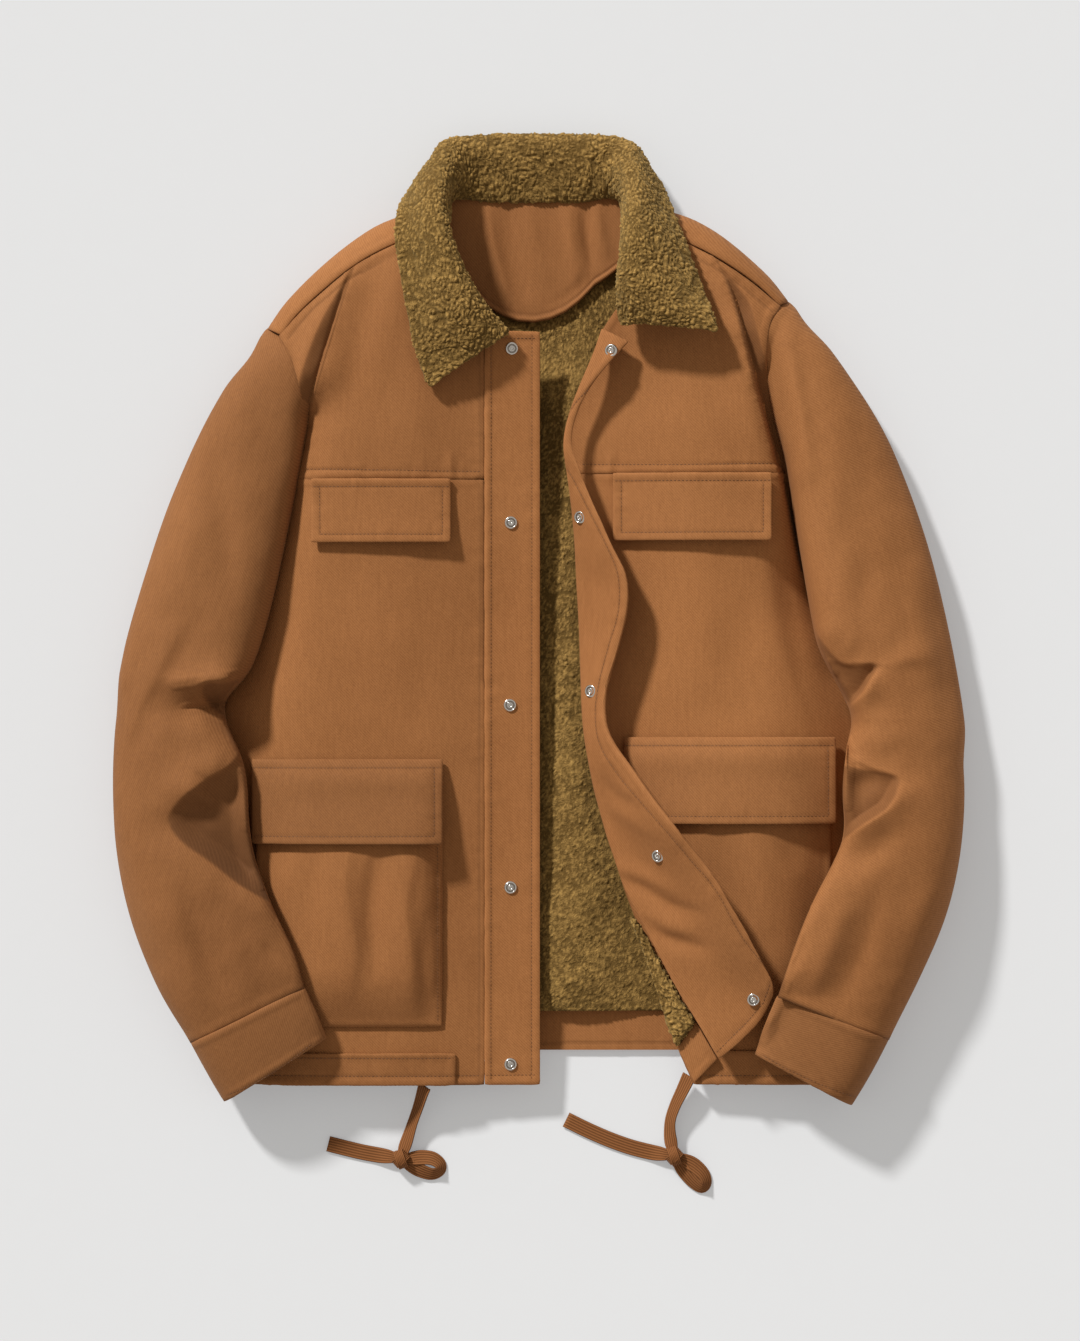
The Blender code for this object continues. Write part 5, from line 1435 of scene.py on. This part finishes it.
# Each tie from the hem through its knot, round its loop, back through the knot and to its cut end:
# x, y, height of the tape's middle, lean of the tape from flat in degrees.
TIES = {
    "left": {
        "knot": (-111.0, -434.4, 7.3),
        "route": [(-91.5, -374.2, 24.2, 30), (-93.4, -380, 20.5, 40), (-97, -392, 11.5, 48),
                  (-101.6, -405.6, 6.2, 50), (-105.6, -418, 5.2, 40), (-109, -428, 6.0, 20),
                  (-111, -434.4, 7.0, 0), (-103, -434.0, 6.2, -10), (-94, -433.2, 5.4, -24),
                  (-85.5, -434.2, 5.2, -34), (-79.4, -438.6, 5.0, -46), (-79.4, -444.0, 4.8, -48),
                  (-86, -446.6, 4.6, -36), (-95, -444.0, 4.8, -24), (-104, -439.2, 5.6, -12),
                  (-111.6, -434.8, 6.4, 0), (-119, -433, 4.6, 6), (-130, -431.6, 1.4, 3),
                  (-143, -429.2, 1.1, 2), (-157, -425.8, 1.3, 2), (-169.6, -422.6, 1.3, 2)],
    },
    "right": {
        "knot": (108.6, -432.0, 7.3),
        "route": [(120.5, -367, 13.0, 30), (115, -379, 11.4, 40), (109.4, -391, 8.6, 48),
                  (105.6, -403, 6.4, 50), (105.2, -414, 5.4, 42), (106.6, -424, 6.0, 20),
                  (108.6, -432, 7.0, 0), (117, -435.4, 6.2, -10), (125.6, -440.2, 5.4, -24),
                  (132.4, -447.0, 5.2, -38), (134.6, -454.0, 5.0, -48), (131.0, -457.8, 4.8, -44),
                  (124.6, -453.6, 4.6, -34), (118.4, -446.6, 5.0, -24), (113, -439.2, 5.8, -12),
                  (108.0, -432.6, 6.4, 0), (100, -430.8, 4.6, 6), (90, -429.4, 1.5, 3),
                  (74, -425.4, 1.1, 2), (57, -419.4, 1.3, 2), (39, -411.6, 1.3, 2), (21.8, -403.2, 1.3, 2)],
    },
}
TAPE_STEPS = 5
SECTION_POINTS = 25
KNOT_PINCH = 9.0
KNOT_STEPS = 28


def tape_section(wide, thick):
    """Places across the tape, heights and rib shade round it, upper side first; sizes are shares."""
    width, thickness = sizes().tape_width * wide, sizes().tape_thickness * thick
    across = [k / (SECTION_POINTS - 1) for k in range(SECTION_POINTS)]
    shade = [abs(math.sin(math.pi * sizes().tape_ribs * u)) for u in across]
    places = [(u - 0.5) * width for u in across]
    heights = [thickness * (0.16 + 0.34 * rib) for rib in shade]
    return places + places[::-1], heights + [-h for h in heights[::-1]], shade + shade[::-1]


def tape_piece(name, rings, shade, closed):
    """Ribbed tape through its cross sections, which go round again if it is closed."""
    around, count = len(shade), len(rings)
    faces = []
    for k in range(count if closed else count - 1):
        a, b = k * around, ((k + 1) % count) * around
        faces += [(a + i, a + (i + 1) % around, b + (i + 1) % around, b + i) for i in range(around)]
    if not closed:
        faces += [tuple(range(around)), tuple(range((count - 1) * around, count * around))]
    mesh = bpy.data.meshes.new(name)
    mesh.from_pydata([point for ring in rings for point in ring], [], faces)
    face_outwards(mesh)
    smooth_faces(mesh)
    set_attribute(mesh, "rib", np.array(shade * count))
    return add_piece(name, mesh, tape_finish("ribbed_tape"))


def sweep_tape(name, centres, leans, widths):
    """Tape along centres in millimetres, leaning from flat by degrees."""
    rings = []
    for k, centre in enumerate(centres):
        ahead = Vector(centres[min(k + 1, len(centres) - 1)] - centres[max(k - 1, 0)]).normalized()
        side = Matrix.Rotation(math.radians(leans[k]), 3, ahead) @ ahead.cross(Vector((0, 0, 1))).normalized()
        up = side.cross(ahead)
        up = -up if up.z < 0 else up
        places, heights, shade = tape_section(widths[k], 1.0)
        rings.append([to_world(*(Vector(centre) + side * p + up * h)) for p, h in zip(places, heights)])
    return tape_piece(name, rings, shade, False)


class JACKET_OT_ties(bpy.types.Operator):
    """Make the two ribbed ties with their knots"""
    bl_idname = "jacket.ties"
    bl_label = "Ties"

    def execute(self, context):
        for side, parts in TIES.items():
            route = smooth_line(parts["route"], TAPE_STEPS)
            centres, leans = route[:, :3], route[:, 3]
            knot = np.array(parts["knot"])
            away = np.linalg.norm(centres[:, :2] - knot[:2], axis=1)
            widths = 1.0 - 0.42 * bell(away, KNOT_PINCH)
            tape = sweep_tape("tie_%s_tape" % side, centres, leans, widths)
            settle(tape, "tie_tape", *["tie_%s_%s" % (side, p) for p in ("lead", "loop", "end")])
            band = self.make_knot(side, knot)
        return {"FINISHED"}

    def make_knot(self, side, knot):
        """Two turns of the tape wrapped round its crossing."""
        turns = []
        for index, (spin, tall, wide) in enumerate(((20.0, 6.2, 7.0), (-48.0, 5.6, 6.2))):
            across = Matrix.Rotation(math.radians(spin), 3, "Z") @ Vector((0, 1, 0))
            ring = []
            for turn in np.arange(KNOT_STEPS) * 2 * math.pi / KNOT_STEPS:
                spot = Vector(knot) + across * (wide * math.cos(turn)) + Vector((0, 0, tall * math.sin(turn)))
                ring.append(Vector((spot.x, spot.y, max(spot.z, 1.2))))
            turns.append(self.wrap("tie_%s_turn_%d" % (side, index), ring, across))
        select_only(turns[0])
        turns[1].select_set(True)
        bpy.ops.object.join()
        band = bpy.context.active_object
        band.name = "tie_%s_knot_turns" % side
        return settle(band, "tie_tape", "tie_%s_knot" % side)

    def wrap(self, name, ring, across):
        """A closed turn of tape whose width lies across the ring's plane."""
        side = across.cross(Vector((0, 0, 1))).normalized()
        places, heights, shade = tape_section(0.62, 1.2)
        centre = Vector(np.mean(ring, axis=0))
        rings = []
        for spot in ring:
            out = (spot - centre).normalized()
            rings.append([to_world(*(spot + side * p + out * h)) for p, h in zip(places, heights)])
        return tape_piece(name, rings, shade, True)


# ---------------------------------------------------------------- stage

VIEW_HEIGHT = 1.0670      # of the floor that the camera sees, in metres, at the cloth's middle height
VIEW_LEVEL = 0.045
VIEW_CENTRE = (0.0008, -0.0413)
SENSOR = 36.0
KEY_DIRECTION = (0.497, -0.694, -0.53)


class JACKET_OT_stage(bpy.types.Operator):
    """Make the pale floor, the studio light and the camera"""
    bl_idname = "jacket.stage"
    bl_label = "Stage"

    def execute(self, context):
        studio = context.scene.jacket_studio
        bpy.ops.object.select_all(action="DESELECT")
        bpy.ops.mesh.primitive_plane_add(size=14.0, location=(0, 0, -0.0003))
        floor = context.active_object
        floor.name = "floor"
        bpy.ops.object.transform_apply(location=True, rotation=False, scale=False)
        floor.data.materials.append(floor_finish("studio_floor"))

        key = bpy.data.objects.new("key_light", bpy.data.lights.new("key_light", "SUN"))
        key.data.energy = studio.key_strength
        key.data.angle = studio.key_softness
        key.data.color = (1.0, 0.985, 0.965)
        key.rotation_mode = "QUATERNION"
        key.rotation_quaternion = Vector(KEY_DIRECTION).to_track_quat("-Z", "Y")
        context.scene.collection.objects.link(key)

        world = bpy.data.worlds.new("studio")
        world.use_nodes = True
        back = world.node_tree.nodes["Background"]
        back.inputs["Color"].default_value = (1.0, 0.92, 0.82, 1.0)
        back.inputs["Strength"].default_value = studio.fill_strength
        context.scene.world = world
        context.scene.view_settings.view_transform = "Standard"

        camera = bpy.data.objects.new("camera", bpy.data.cameras.new("camera"))
        reach = studio.camera_height - VIEW_LEVEL
        camera.data.sensor_width = SENSOR
        camera.data.lens = SENSOR * reach / VIEW_HEIGHT
        camera.data.clip_end = 50.0
        camera.location = (*VIEW_CENTRE, studio.camera_height)
        context.scene.collection.objects.link(camera)
        context.scene.camera = camera
        return {"FINISHED"}


# ---------------------------------------------------------------- panel and running

STEPS = ("stage", "ties", "panels", "linings", "collar", "sewing", "snaps")


class JACKET_PT_sidebar(bpy.types.Panel):
    """Makes the jacket's pieces in order"""
    bl_idname = "JACKET_PT_sidebar"
    bl_label = "Sherpa Lined Jacket"
    bl_space_type = "VIEW_3D"
    bl_region_type = "UI"
    bl_category = "Jacket"

    def draw(self, context):
        for group in ("jacket_sizes", "jacket_colours", "jacket_studio"):
            box = self.layout.box()
            values = getattr(context.scene, group)
            for name in values.bl_rna.properties.keys():
                if name not in ("rna_type", "name"):
                    box.prop(values, name)
        for step in STEPS:
            self.layout.operator("jacket." + step)


CLASSES = (
    JacketSizes, JacketColours, StudioSetup, JACKET_OT_stage, JACKET_OT_ties, JACKET_OT_panels,
    JACKET_OT_linings, JACKET_OT_collar, JACKET_OT_sewing, JACKET_OT_snaps, JACKET_PT_sidebar,
)


def register():
    for cls in CLASSES:
        bpy.utils.register_class(cls)
    bpy.types.Scene.jacket_sizes = PointerProperty(type=JacketSizes)
    bpy.types.Scene.jacket_colours = PointerProperty(type=JacketColours)
    bpy.types.Scene.jacket_studio = PointerProperty(type=StudioSetup)


def unregister():
    for name in ("jacket_sizes", "jacket_colours", "jacket_studio"):
        delattr(bpy.types.Scene, name)
    for cls in reversed(CLASSES):
        bpy.utils.unregister_class(cls)


def main():
    register()
    for step in STEPS:
        getattr(bpy.ops.jacket, step)()


if __name__ == "__main__":
    main()
